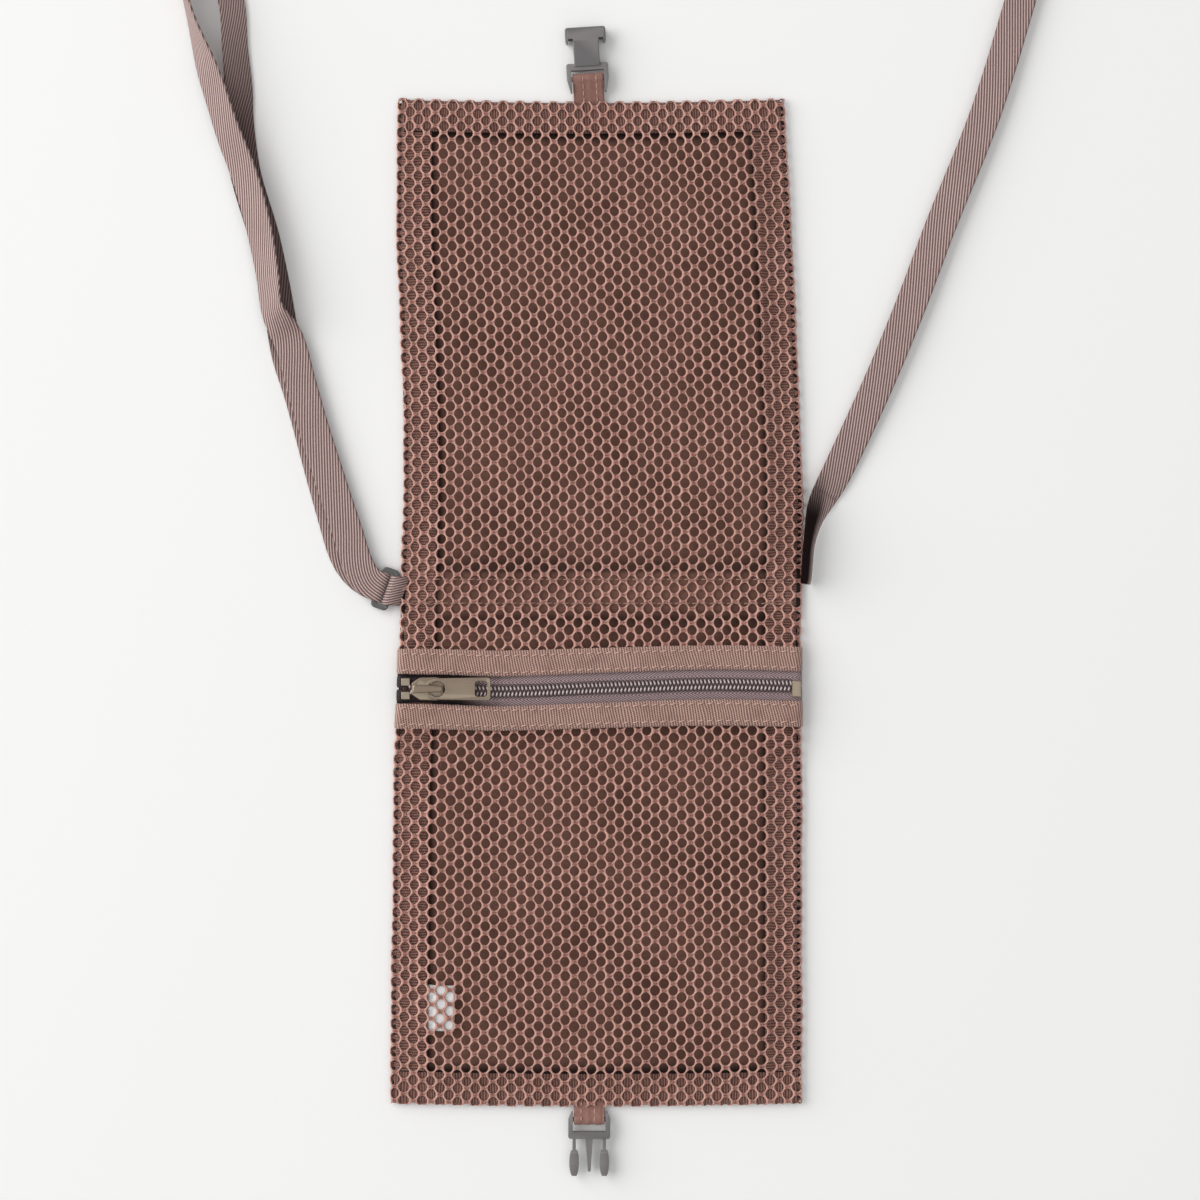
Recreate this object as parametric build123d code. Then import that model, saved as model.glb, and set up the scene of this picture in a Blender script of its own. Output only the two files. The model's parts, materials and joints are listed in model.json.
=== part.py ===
"""Neck pouch wallet, laid open and flat: two mesh-fronted halves that fold together, a zip across the
lower half, a side-release buckle with one half at each end, and a neck strap.

Millimetres. X runs across the pouch, Y along it, Z up out of its mesh front. The origin is on the fold
line, in the middle of the pouch's width, at the level of the back cloth's outer face.
"""

import os
from math import cos, radians, sin

from build123d import *

# Pouch body
WIDTH = 130.0
HALF_LENGTH = 163.0
FOLD_GAP = 2.5  # each half stops this far from the fold line
CLOTH = 0.5  # woven back cloth
NET = 0.6  # knitted hexagon net
FRONT_TOP = 5.5  # height of the net's outer face over the hollow
SEAM_TOP = 2.3  # height of the net's outer face at the seams
SEAM_SLOPE = 9.0  # plan width over which the net rises from the seams
SLIP = 0.1  # gap between layers that lie on each other
SEWN_GAP = 0.2  # gap where two pieces meet in a seam

# Tapes
BINDING_WIDTH = 10.0
BINDING = 1.0
FACING = 0.8
ZIP_TAPE = 0.4
ZIP_TAPE_WIDTH = 10.7

# Zip, lying across the lower half
ZIP_Y = -28.1
ZIP_TAPE_Z = 4.2
WINDOW_HALF = 4.8  # half the gap between the two facings
FACING_WIDTH = 7.9
COIL_HALF = 2.1
COIL = 1.1
COIL_GAP = 0.4  # from the zip's centre line to each row
STOP_LEFT = -61.5
STOP_RIGHT = 62.2
STOP_LENGTH = 2.7
STOP_HEIGHT = 1.2

# Slider and pull tab
SLIDER_LEFT = -60.9
SLIDER_RIGHT = -50.6
SLIDER_HALF = 3.75
SLIDER_PLATE = 0.7
SLIDER_FOOT = 0.5  # plate under the tapes
PULL_PIVOT_X = -55.6
PULL_LENGTH = 20.2  # from the pivot to the free end
PULL_WIDTH = 7.5
PULL = 0.9
PULL_EYE = 5.0
PULL_END_BAR = 0.5  # half the thickness of the bar under the bail
STRAIGHT_BAR = 1.6  # half the length over which that bar is straight

# Strap webbing, shared by the strap, the bearer across the back and the ring's tab
WEB_WIDTH = 10.0
WEB = 0.8
STRAP_Y = 3.5  # the bearer's centre line

# Ring at the strap's left end
RING_ACROSS = 5.8
RING_LENGTH = 13.8
RING_BAR = 1.6
RING_CENTRE = (-69.8, 4.3)
RING_TILT = -20.0  # lean of the long bars from the Y direction

# Neck strap, in plan
LEG_TILT = 16.2  # lean of the left leg from the Y direction
LEG_BEND = 12.0
RIGHT_LEG_TILT = -22.9
RIGHT_LEG_BEND = 25.0
RIGHT_END_X = 70.7
STRAP_TOP = 378.0
LEG_LENGTH = 256.0
RIGHT_LEG_LENGTH = 185.0

# Adjuster on the left leg
ADJUSTER_ALONG = 240.0  # from the leg's bend to the adjuster's centre
ADJUSTER_LENGTH = 9.6
ADJUSTER_WIDTH = 14.6
ADJUSTER_BAR = 1.5

# Side-release buckle for 10 mm webbing
BUCKLE_X = -3.5
BUCKLE_Z = 2.5
BUCKLE_WIDTH = 13.6
BUCKLE_RAIL = 1.5
TAB_WIDTH = 10.0
TAB_LAYER = 0.5
TAB_BAR = 0.8  # radius of the bar that the tab turns round
SOCKET_LEAN = 3.5
ARM_X = 4.9

HALF_WIDTH = WIDTH / 2
PANEL_X = HALF_WIDTH - NET - SLIP
BINDING_Z = CLOTH + SLIP
FACING_Z = ZIP_TAPE_Z + ZIP_TAPE + SLIP
COIL_Z = ZIP_TAPE_Z + ZIP_TAPE
SLIDER_TOP_Z = COIL_Z + COIL + SLIP + SLIDER_PLATE
PULL_Z = SLIDER_TOP_Z + 0.75
RING_Z = WEB + SLIP + RING_BAR / 2
STRAP_UPPER_Z = WEB + 2 * SLIP + RING_BAR
WEB_TOP = STRAP_Y + WEB_WIDTH / 2
END_BINDING = HALF_LENGTH - NET - SLIP - BINDING_WIDTH - SEWN_GAP
UPPER_SIDE = (WEB_TOP + 2 * CLOTH + SEWN_GAP + NET + SLIP, END_BINDING)
LOWER_SIDE = (-END_BINDING, -FOLD_GAP - NET - SLIP)


def block(x, y, z):
    """A box between two limits on each axis."""
    size = [high - low for low, high in (x, y, z)]
    middle = [(high + low) / 2 for low, high in (x, y, z)]
    return Pos(*middle) * Box(*size)


def round_bar(radius, length):
    """A bar along X, centred on the origin."""
    return Rot(0, 90, 0) * Cylinder(radius, length)


def prism(points, low, high, corner=0.0):
    """A plan outline drawn up from low to high, with its corners rounded."""
    outline = Polygon(*points, align=None)
    if corner:
        outline = fillet(outline.vertices(), corner)
    return Pos(0, 0, low) * extrude(outline, high - low, dir=(0, 0, 1))


# Cloth body


def pillow(y, inset=0.0):
    """The volume under the net's outer face between two ends, drawn in by inset on every face."""
    x_half = HALF_WIDTH - inset
    low, high = y[0] + inset, y[1] - inset
    middle, length = (low + high) / 2, high - low
    base = block((-x_half, x_half), (low, high), (CLOTH + SLIP, SEAM_TOP - inset))
    foot = Pos(0, middle, SEAM_TOP - inset) * Rectangle(2 * x_half, length)
    crown_size = (2 * (x_half - SEAM_SLOPE), length - 2 * SEAM_SLOPE)
    crown = Pos(0, middle, FRONT_TOP - inset) * Rectangle(*crown_size)
    return base + loft([foot, crown])


def net_front(y):
    """A net front with sloping edges, open at the back."""
    return pillow(y) - pillow(y, NET) - Pos(0, 0, -NET) * pillow(y, NET)


def slab_of(solid, y):
    """The part of a solid between two places along the pouch."""
    return solid & block((-WIDTH, WIDTH), y, (-WIDTH, WIDTH))


def upper_back_panel():
    """Back cloth of the upper half, raised where it crosses the strap bearer."""
    raised = WEB + SLIP
    clear = WEB_TOP + SEWN_GAP
    flat = block((-HALF_WIDTH, HALF_WIDTH), (clear, HALF_LENGTH), (0, CLOTH))
    over = block((-HALF_WIDTH, HALF_WIDTH), (FOLD_GAP, clear + CLOTH), (raised, raised + CLOTH))
    riser = block((-HALF_WIDTH, HALF_WIDTH), (clear, clear + CLOTH), (0, raised + CLOTH))
    return flat + over + riser


def lower_back_panel():
    return block((-HALF_WIDTH, HALF_WIDTH), (-HALF_LENGTH, -FOLD_GAP), (0, CLOTH))


def upper_mesh_panel():
    """Net front of the upper half, sewn flat over the strap bearer at its fold end."""
    start = WEB_TOP + 2 * CLOTH + SEWN_GAP
    sewn = WEB + SLIP + CLOTH + SLIP / 2
    strip = block((-HALF_WIDTH, HALF_WIDTH), (FOLD_GAP, start + NET), (sewn, sewn + NET))
    return net_front((start, HALF_LENGTH)) + strip


def lower_net():
    return net_front((-HALF_LENGTH, -FOLD_GAP))


def mesh_above_zip():
    edge = ZIP_Y + WINDOW_HALF + FACING_WIDTH
    return slab_of(lower_net(), (edge + SEWN_GAP, 0))


def lower_mesh_panel():
    edge = ZIP_Y - WINDOW_HALF - FACING_WIDTH
    return slab_of(lower_net(), (-2 * HALF_LENGTH, edge - SEWN_GAP))


def binding_across(side):
    """Grosgrain binding along an end seam, on the upper (+1) or lower (-1) half."""
    outer = side * (HALF_LENGTH - NET - SLIP)
    inner = outer - side * BINDING_WIDTH
    y = (min(outer, inner), max(outer, inner))
    return block((-PANEL_X, PANEL_X), y, (BINDING_Z, BINDING_Z + BINDING))


def binding_along(x_side, y_low, y_high):
    """Grosgrain binding along a side seam, on the left (-1) or right (+1)."""
    outer = x_side * PANEL_X
    inner = outer - x_side * BINDING_WIDTH
    x = (min(outer, inner), max(outer, inner))
    return block(x, (y_low, y_high), (BINDING_Z, BINDING_Z + BINDING))


def care_label():
    """Blank cloth label caught in the left side seam."""
    top = BINDING_Z + BINDING + SLIP
    return block((-62.0, -46.8), (-139.0, -124.4), (top, top + 0.2))


def spine_webbing():
    """Strap bearer sewn across the back at the fold."""
    half = WEB_WIDTH / 2
    return block((-HALF_WIDTH, HALF_WIDTH), (STRAP_Y - half, STRAP_Y + half), (0, WEB))


# Zip


def zip_facing(side):
    """Grosgrain facing beside the zip window, above (+1) or below (-1) the zip."""
    near, far = ZIP_Y + side * WINDOW_HALF, ZIP_Y + side * (WINDOW_HALF + FACING_WIDTH)
    y = (min(near, far), max(near, far))
    return block((-HALF_WIDTH, HALF_WIDTH), y, (FACING_Z, FACING_Z + FACING))


def zip_tape(side):
    near, far = ZIP_Y + side * COIL_GAP, ZIP_Y + side * (COIL_GAP + ZIP_TAPE_WIDTH)
    y = (min(near, far), max(near, far))
    return block((-PANEL_X, PANEL_X), y, (ZIP_TAPE_Z, ZIP_TAPE_Z + ZIP_TAPE))


def zip_coil(side):
    """One row of the coil, as the bar that its turns fill."""
    near, far = ZIP_Y + side * COIL_GAP, ZIP_Y + side * COIL_HALF
    y = (min(near, far), max(near, far))
    row = block((STOP_LEFT, STOP_RIGHT), y, (COIL_Z, COIL_Z + COIL))
    upper_edges = row.edges().filter_by(Axis.X).group_by(Axis.Z)[-1]
    return fillet(upper_edges, 0.5)


def top_stops():
    """Two metal stops beside each other at the closed end."""
    gap, half = 1.0, 3.4
    x = (STOP_LEFT - STOP_LENGTH - SLIP, STOP_LEFT - SLIP)
    z = (COIL_Z, COIL_Z + STOP_HEIGHT)
    return [block(x, (ZIP_Y + low, ZIP_Y + high), z) for low, high in ((gap, half), (-half, -gap))]


def bottom_stop():
    half = 2.6
    x = (STOP_RIGHT + SLIP, STOP_RIGHT + SLIP + STOP_LENGTH)
    stop = block(x, (ZIP_Y - half, ZIP_Y + half), (COIL_Z, COIL_Z + STOP_HEIGHT))
    return fillet(stop.edges().filter_by(Axis.X).group_by(Axis.Z)[-1], 0.4)


def slider_outline(low, high):
    """The slider's plan shape: rounded at its throat, straight-sided behind."""
    throat, shoulder, tail = 1.9, SLIDER_HALF - 0.15, 3.0
    half_outline = [
        (SLIDER_LEFT, throat),
        (SLIDER_LEFT + 2.6, shoulder),
        (SLIDER_RIGHT - 2.4, SLIDER_HALF),
        (SLIDER_RIGHT, tail),
    ]
    points = half_outline + [(x, -y) for x, y in reversed(half_outline)]
    return Pos(0, ZIP_Y, 0) * prism(points, low, high, corner=0.7)


def bail():
    """The arch over the slider that holds the pull tab's end bar: broad at the throat, slim behind."""
    left, right, broad, slim = SLIDER_LEFT + 0.4, SLIDER_RIGHT - 0.3, 1.4, 0.95
    crown, inner_top = PULL_Z + 1.35, PULL_Z + 0.75
    plan = [(left, -broad), (right, -slim), (right, slim), (left, broad)]
    arch = Pos(0, ZIP_Y, 0) * prism(plan, SLIDER_TOP_Z - 0.3, crown, corner=0.8)
    arch = fillet(arch.faces().sort_by(Axis.Z)[-1].edges(), 0.55)
    hole = block(
        (left + 1.6, right - 1.3),
        (ZIP_Y - 2 * broad, ZIP_Y + 2 * broad),
        (SLIDER_TOP_Z, inner_top),
    )
    return arch - fillet(hole.edges().filter_by(Axis.Y).group_by(Axis.Z)[-1], 0.5)


def slider_body():
    """Two plates joined by a post between the coil rows, with side walls and a bail."""
    plate_low = SLIDER_TOP_Z - SLIDER_PLATE
    wall_low = COIL_Z + SLIP
    shell = slider_outline(wall_low, SLIDER_TOP_Z)
    shell = fillet(shell.faces().sort_by(Axis.Z)[-1].edges(), 0.3)
    reach = (SLIDER_LEFT - 1, SLIDER_RIGHT + 1)
    channel = (ZIP_Y - COIL_HALF - 0.8, ZIP_Y + COIL_HALF + 0.8)
    shell = shell - block(reach, channel, (0, plate_low))
    foot_high = ZIP_TAPE_Z - SLIP
    foot = slider_outline(foot_high - SLIDER_FOOT, foot_high)
    post_half = COIL_GAP - SLIP
    post = block(
        (SLIDER_LEFT + 0.6, SLIDER_LEFT + 3.4),
        (ZIP_Y - post_half, ZIP_Y + post_half),
        (foot_high - 0.1, plate_low + 0.1),
    )
    return shell + foot + post + bail()


def pull_tab():
    """Flat pull with a round eye over the bail and a window near its free end."""
    start, end = PULL_PIVOT_X - PULL_END_BAR, PULL_PIVOT_X + PULL_LENGTH
    half, neck = PULL_WIDTH / 2, PULL_WIDTH / 2 - 0.3
    eye_x = PULL_PIVOT_X + PULL_END_BAR + PULL_EYE / 2
    bar_half = PULL_EYE / 2 + 0.6
    outline = Polygon(
        (eye_x, -neck), (end, -half), (end, half), (eye_x, neck), align=None
    )
    outline = fillet(outline.vertices().sort_by(Axis.X)[-2:], 1.0)
    head = Pos((start + eye_x) / 2, 0) * Rectangle(eye_x - start, 2 * bar_half)
    head = fillet(head.vertices().sort_by(Axis.X)[:2], 1.9)
    outline = outline + head + Pos(eye_x, 0) * Circle(neck)
    outline = outline & Pos((start + end) / 2, 0) * Rectangle(end - start, PULL_WIDTH)
    outline = outline - Pos(eye_x, 0) * Circle(PULL_EYE / 2)
    outline = outline - Pos(eye_x - PULL_EYE / 4, 0) * Rectangle(PULL_EYE / 2, 2 * STRAIGHT_BAR)
    outline = outline - Pos(end - 3.0, 0) * RectangleRounded(4.0, 5.0, 1.0)
    pull = Pos(0, ZIP_Y, PULL_Z - PULL / 2) * extrude(outline, PULL)
    return chamfer(pull.faces().sort_by(Axis.Z)[-1].edges(), 0.15)


# Strap


def along(direction):
    """Unit vector at an angle in degrees from +X."""
    return Vector(cos(radians(direction)), sin(radians(direction)))


RING_OUT = 180.0 + RING_TILT  # direction from the ring's middle out along the strap
LEG_OUT = 90.0 + LEG_TILT
RIGHT_OUT = 90.0 + RIGHT_LEG_TILT


def in_ring_frame(shape):
    """Places a shape whose X runs from the pouch towards the strap at the ring."""
    return Pos(RING_CENTRE[0], RING_CENTRE[1], RING_Z) * Rot(0, 0, RING_OUT) * shape


def strap_ring():
    """Rectangular loop between the pouch's tab and the strap."""
    outer = RectangleRounded(RING_ACROSS, RING_LENGTH, 1.5)
    slot = RectangleRounded(RING_ACROSS - 2 * RING_BAR, RING_LENGTH - 2 * RING_BAR, 0.5)
    ring = Pos(0, 0, -RING_BAR / 2) * extrude(outer - slot, RING_BAR)
    rim = ring.faces().sort_by(Axis.Z)
    return in_ring_frame(fillet(rim[0].outer_wire().edges() + rim[-1].outer_wire().edges(), 0.5))


def turn_round_bar(reach):
    """Webbing that comes in below the ring's strap bar, turns up through the slot and goes out above."""
    half = WEB_WIDTH / 2
    bar_inner = RING_ACROSS / 2 - RING_BAR - SLIP
    low, high = -RING_BAR / 2 - SLIP - WEB, RING_BAR / 2 + SLIP + WEB
    wrap = block((bar_inner - WEB, reach), (-half, half), (low, high))
    inside = block((bar_inner, reach + 1), (-half - 1, half + 1), (low + WEB, high - WEB))
    return wrap - inside


def ring_tab():
    """Short webbing loop from the pouch's side seam round the ring's inner bar."""
    turned = in_ring_frame(Rot(0, 0, 180) * turn_round_bar(RING_ACROSS + 4))
    outside = block((-2 * WIDTH, -HALF_WIDTH - SEWN_GAP), (-WIDTH, WIDTH), (-WIDTH, WIDTH))
    return turned & outside


BAR_EDGE = RING_ACROSS / 2 + SEWN_GAP
LEG_ARC_START = Vector(*RING_CENTRE) + along(RING_OUT) * BAR_EDGE
LEG_TURN = RING_OUT - LEG_OUT


def bend_end(start, heading, radius, turn):
    """End of an arc that starts along heading and turns by turn degrees, positive to the left."""
    side = 1 if turn > 0 else -1
    centre = start + along(heading + 90 * side) * radius
    return centre + along(heading - 90 * side + turn) * radius


LEG_START = bend_end(LEG_ARC_START, RING_OUT, LEG_BEND, -LEG_TURN)
LEG_END = LEG_START + along(LEG_OUT) * LEG_LENGTH
RIGHT_END = Vector(RIGHT_END_X, STRAP_Y - WEB_WIDTH / 2)
RIGHT_BEND_START = RIGHT_END + Vector(0, 18.0)
RIGHT_LEG_START = bend_end(RIGHT_BEND_START, 90.0, RIGHT_LEG_BEND, RIGHT_LEG_TILT)
RIGHT_LEG_END = RIGHT_LEG_START + along(RIGHT_OUT) * RIGHT_LEG_LENGTH


def flat_strap(path, z):
    """Webbing lying flat along a plan path, with its underside at z."""
    start = path @ 0
    heading = path % 0
    section_plane = Plane(origin=start, x_dir=heading.cross(Vector(0, 0, 1)), z_dir=heading)
    section = section_plane * Rectangle(WEB_WIDTH, WEB)
    return Pos(0, 0, z + WEB / 2) * sweep(section, path=path)


def strap_main():
    """The strap from its sewn right end round the neck, down to the ring and round its bar."""
    loop = Spline(
        LEG_END,
        Vector(0, STRAP_TOP),
        RIGHT_LEG_END,
        tangents=[along(LEG_OUT), Vector(1, 0), along(RIGHT_OUT) * -1],
    )
    path = Wire(
        [
            TangentArc(LEG_ARC_START, LEG_START, tangent=along(RING_OUT)),
            Line(LEG_START, LEG_END),
            loop,
            Line(RIGHT_LEG_END, RIGHT_LEG_START),
            TangentArc(RIGHT_LEG_START, RIGHT_BEND_START, tangent=along(RIGHT_OUT) * -1),
            Line(RIGHT_BEND_START, RIGHT_END),
        ]
    )
    return flat_strap(path, STRAP_UPPER_Z) + in_ring_frame(turn_round_bar(BAR_EDGE))


def strap_return():
    """The doubled length of strap from the ring's bar back up to the adjuster."""
    start = LEG_ARC_START + along(RING_OUT) * SEWN_GAP
    bend = bend_end(start, RING_OUT, LEG_BEND, -LEG_TURN)
    end = LEG_START + along(LEG_OUT) * (ADJUSTER_ALONG - 3.4)
    path = Wire([TangentArc(start, bend, tangent=along(RING_OUT)), Line(bend, end)])
    return flat_strap(path, 0)


def on_leg(shape):
    """Places a shape whose X runs up the left leg at the adjuster."""
    centre = LEG_START + along(LEG_OUT) * ADJUSTER_ALONG
    return Pos(centre.X, centre.Y, 0) * Rot(0, 0, LEG_OUT) * shape


ADJUSTER_BAR_Z = 1.4


def adjuster():
    """Three-bar slide: the strap runs over the middle bar and under the two end bars."""
    low, high = ADJUSTER_BAR_Z - 0.45, STRAP_UPPER_Z + WEB + SLIP + 1.0
    half_length, half_width = ADJUSTER_LENGTH / 2, ADJUSTER_WIDTH / 2
    inner = half_width - ADJUSTER_BAR
    outer = Pos(0, 0, low) * extrude(RectangleRounded(ADJUSTER_LENGTH, ADJUSTER_WIDTH, 1.2), high - low)
    outer = fillet(outer.faces().sort_by(Axis.Z)[-1].edges(), 0.4)
    under_end_bars = block((-half_length - 1, half_length + 1), (-inner, inner), (0, high - 1.0))
    opening_end = half_length - ADJUSTER_BAR
    opening = block((-opening_end, opening_end), (-inner, inner), (0, high + 1))
    middle_bar = block((-0.7, 0.7), (-inner - 0.1, inner + 0.1), (low, low + 0.9))
    return outer - under_end_bars - opening + middle_bar


def adjuster_loop():
    """The strap's sewn end, turned round the adjuster's middle bar."""
    half, layer = WEB_WIDTH / 2, 0.45
    reach_x, reach_z = 0.7 + SLIP, 0.45 + SLIP
    tail = -3.2
    outer = block(
        (tail, reach_x + layer),
        (-half, half),
        (ADJUSTER_BAR_Z - reach_z - layer, ADJUSTER_BAR_Z + reach_z + layer),
    )
    bore = block(
        (-reach_x, reach_x),
        (-half - 1, half + 1),
        (ADJUSTER_BAR_Z - reach_z, ADJUSTER_BAR_Z + reach_z),
    )
    return on_leg(fillet(outer.edges().filter_by(Axis.Y), 0.4) - bore)


# Buckle. Both halves are drawn with Y running out from the pouch's end seam at the origin.


def at_upper_end(shape):
    return Pos(BUCKLE_X, HALF_LENGTH, BUCKLE_Z) * Rot(0, 0, SOCKET_LEAN) * shape


def at_lower_end(shape):
    return Pos(BUCKLE_X, -HALF_LENGTH, BUCKLE_Z) * Rot(0, 0, 180) * shape


def tab_loop(bar_y):
    """Cloth tab from the end seam round a buckle's bar and back, sewn into one stem."""
    start, ring = 0.8, TAB_BAR + SLIP
    stem = block((-TAB_WIDTH / 2, TAB_WIDTH / 2), (start, bar_y), (-TAB_LAYER, TAB_LAYER))
    eye = Pos(0, bar_y, 0) * round_bar(ring + TAB_LAYER, TAB_WIDTH)
    return stem + eye - Pos(0, bar_y, 0) * round_bar(ring, TAB_WIDTH + 1)


SOCKET_BAR_Y = 7.0
PLUG_BAR_Y = 5.0


def webbing_frame(bar_y, far, half_height):
    """The open end of a buckle half: two tapering rails, the tab's bar and a crosspiece."""
    half, near = BUCKLE_WIDTH / 2, 2.6
    inner = half - BUCKLE_RAIL
    points = [(-half, far), (-half, bar_y), (-half + 1.0, near), (-inner, near)]
    points += [(-inner, far - 2.2), (inner, far - 2.2)]
    points += [(inner, near), (half - 1.0, near), (half, bar_y), (half, far)]
    frame = prism(points, -half_height, half_height)
    upright = frame.edges().filter_by(Axis.Z)
    frame = fillet(upright.group_by(Axis.Y)[-1], 0.8)
    return frame + Pos(0, bar_y, 0) * round_bar(TAB_BAR, 2 * inner + 0.4)


def buckle_socket():
    """Hollow half: a wide mouth, and two plates with open sides where the arms spring out."""
    frame_end, mouth_start, mouth_end = 11.9, 18.6, 23.5
    column_half, mouth_half = 4.15, 6.6
    height, cavity = 2.2, 1.35
    mouth_points = [
        (-mouth_half, mouth_start),
        (-mouth_half, mouth_end),
        (mouth_half, mouth_end),
        (mouth_half, mouth_start),
    ]
    mouth = prism(mouth_points, -height, height, corner=0.9)
    column = block((-column_half, column_half), (frame_end - 1, mouth_end - 1), (-height, height))
    throat = block((-mouth_half + 0.9, mouth_half - 0.9), (frame_end + 0.6, mouth_end + 1), (-cavity, cavity))
    notches = [
        block(x, (mouth_start - 0.1, mouth_start + 1.3), (-height - 1, height + 1))
        for x in ((-mouth_half + 0.9, -column_half), (column_half, mouth_half - 0.9))
    ]
    shell = mouth + column + webbing_frame(SOCKET_BAR_Y, frame_end, 1.3)
    shell = fillet(shell.edges().filter_by(Axis.Y).group_by(Axis.Z)[-1], 0.4)
    guide = Pos(0, (frame_end + mouth_start) / 2, 0)
    guides = [
        guide * Pos(side * 2.0, 0, 0) * Box(0.8, mouth_start - frame_end, 2 * cavity + 0.4)
        for side in (-1, 1)
    ]
    return at_upper_end(shell - throat - notches[0] - notches[1] + guides[0] + guides[1])


def plug_base():
    """Solid half: the frame and the middle prong that guides it into the socket."""
    frame_end, tip = 11.2, 22.0
    frame = webbing_frame(PLUG_BAR_Y, frame_end, 1.2)
    prong_points = [(-1.2, frame_end - 0.3), (-0.45, tip - 0.4), (0, tip), (0.45, tip - 0.4)]
    prong_points += [(1.2, frame_end - 0.3)]
    return at_lower_end(frame + prism(prong_points, -0.8, 0.8))


def plug_arm(side):
    """One springy arm: a thin stem and an oval press pad with a latch shoulder."""
    root, pad_start, pad_end = 11.9, 14.7, 23.2
    x = side * ARM_X
    stem = block((x - 0.55, x + 0.55), (root, pad_start + 0.6), (-0.9, 0.9))
    knuckle = Pos(x, root, 0) * Cylinder(0.55, 1.8)
    middle = (pad_start + pad_end) / 2
    pad_shape = Pos(x, middle) * Ellipse(1.55, (pad_end - pad_start) / 2 + 0.6)
    square_end = Pos(x, middle + 0.3) * Rectangle(4, pad_end - pad_start - 0.6)
    pad = Pos(0, 0, -1.2) * extrude(pad_shape & square_end, 2.4)
    return at_lower_end(stem + knuckle + pad)


PARTS = {
    "upper_back_panel": upper_back_panel,
    "upper_mesh_panel": upper_mesh_panel,
    "binding_top": lambda: binding_across(1),
    "binding_upper_left": lambda: binding_along(-1, *UPPER_SIDE),
    "binding_upper_right": lambda: binding_along(1, *UPPER_SIDE),
    "spine_webbing": spine_webbing,
    "ring_tab": ring_tab,
    "lower_back_panel": lower_back_panel,
    "mesh_above_zip": mesh_above_zip,
    "lower_mesh_panel": lower_mesh_panel,
    "binding_bottom": lambda: binding_across(-1),
    "binding_lower_left": lambda: binding_along(-1, *LOWER_SIDE),
    "binding_lower_right": lambda: binding_along(1, *LOWER_SIDE),
    "care_label": care_label,
    "zip_facing_upper": lambda: zip_facing(1),
    "zip_facing_lower": lambda: zip_facing(-1),
    "zip_tape_upper": lambda: zip_tape(1),
    "zip_tape_lower": lambda: zip_tape(-1),
    "zip_coil_upper": lambda: zip_coil(1),
    "zip_coil_lower": lambda: zip_coil(-1),
    "zip_top_stops": top_stops,
    "zip_bottom_stop": bottom_stop,
    "slider_body": slider_body,
    "pull_tab": pull_tab,
    "socket_tab": lambda: at_upper_end(tab_loop(SOCKET_BAR_Y)),
    "buckle_socket": buckle_socket,
    "plug_tab": lambda: at_lower_end(tab_loop(PLUG_BAR_Y)),
    "plug_base": plug_base,
    "plug_arm_left": lambda: plug_arm(1),
    "plug_arm_right": lambda: plug_arm(-1),
    "strap_ring": strap_ring,
    "strap_main": strap_main,
    "strap_return": strap_return,
    "adjuster": lambda: on_leg(adjuster()),
    "adjuster_loop": adjuster_loop,
}


def write_parts(folder="parts"):
    os.makedirs(folder, exist_ok=True)
    for name, build in PARTS.items():
        made = build()
        shape = Compound(children=made) if isinstance(made, list) else made
        shape.label = name
        export_step(shape, f"{folder}/{name}.step")


write_parts()
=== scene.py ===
"""Looks of the neck pouch wallet: knitted net fronts over a woven back, grosgrain tapes, a coil zip,
a side-release buckle and a twill neck strap, laid flat on a pale floor.

Lengths are in millimetres until a mesh is made. X runs across the pouch, Y along it and Z up.
"""

import json
from math import cos, pi, radians, sin

import bpy
import numpy as np
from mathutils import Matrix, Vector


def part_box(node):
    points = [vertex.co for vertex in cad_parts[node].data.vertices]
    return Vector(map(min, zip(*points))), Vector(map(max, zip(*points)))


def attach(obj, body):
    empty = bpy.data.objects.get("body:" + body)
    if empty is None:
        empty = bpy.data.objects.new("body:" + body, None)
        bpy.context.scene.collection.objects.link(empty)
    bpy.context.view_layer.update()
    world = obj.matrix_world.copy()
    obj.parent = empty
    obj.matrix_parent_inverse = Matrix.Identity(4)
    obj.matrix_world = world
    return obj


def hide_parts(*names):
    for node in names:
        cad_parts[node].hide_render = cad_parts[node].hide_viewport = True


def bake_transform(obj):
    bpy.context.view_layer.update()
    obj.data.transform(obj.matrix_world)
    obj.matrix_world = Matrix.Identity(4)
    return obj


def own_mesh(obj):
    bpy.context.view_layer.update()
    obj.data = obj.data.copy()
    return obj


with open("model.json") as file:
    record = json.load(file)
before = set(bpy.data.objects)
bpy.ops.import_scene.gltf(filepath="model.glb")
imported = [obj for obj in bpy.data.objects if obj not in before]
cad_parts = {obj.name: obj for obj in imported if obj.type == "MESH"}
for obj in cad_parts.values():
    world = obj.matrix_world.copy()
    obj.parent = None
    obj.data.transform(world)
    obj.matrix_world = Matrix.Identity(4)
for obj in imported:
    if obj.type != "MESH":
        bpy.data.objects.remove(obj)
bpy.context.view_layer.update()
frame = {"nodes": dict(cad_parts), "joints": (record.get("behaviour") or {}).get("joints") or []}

MM = 0.001
WEAVE_UV = "weave"  # across and along the cloth, in millimetres
RAISED = "raised"  # 1 on the front of a sheet or along the top of a net strand, 0 at the back
rng = np.random.default_rng(7)


def box_mm(node):
    """Lowest and highest corner of a CAD node in millimetres."""
    low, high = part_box(node)
    return np.array(low) / MM, np.array(high) / MM


def middle_mm(node):
    """Middle of a CAD node's box in millimetres."""
    low, high = box_mm(node)
    return (low + high) / 2


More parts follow.
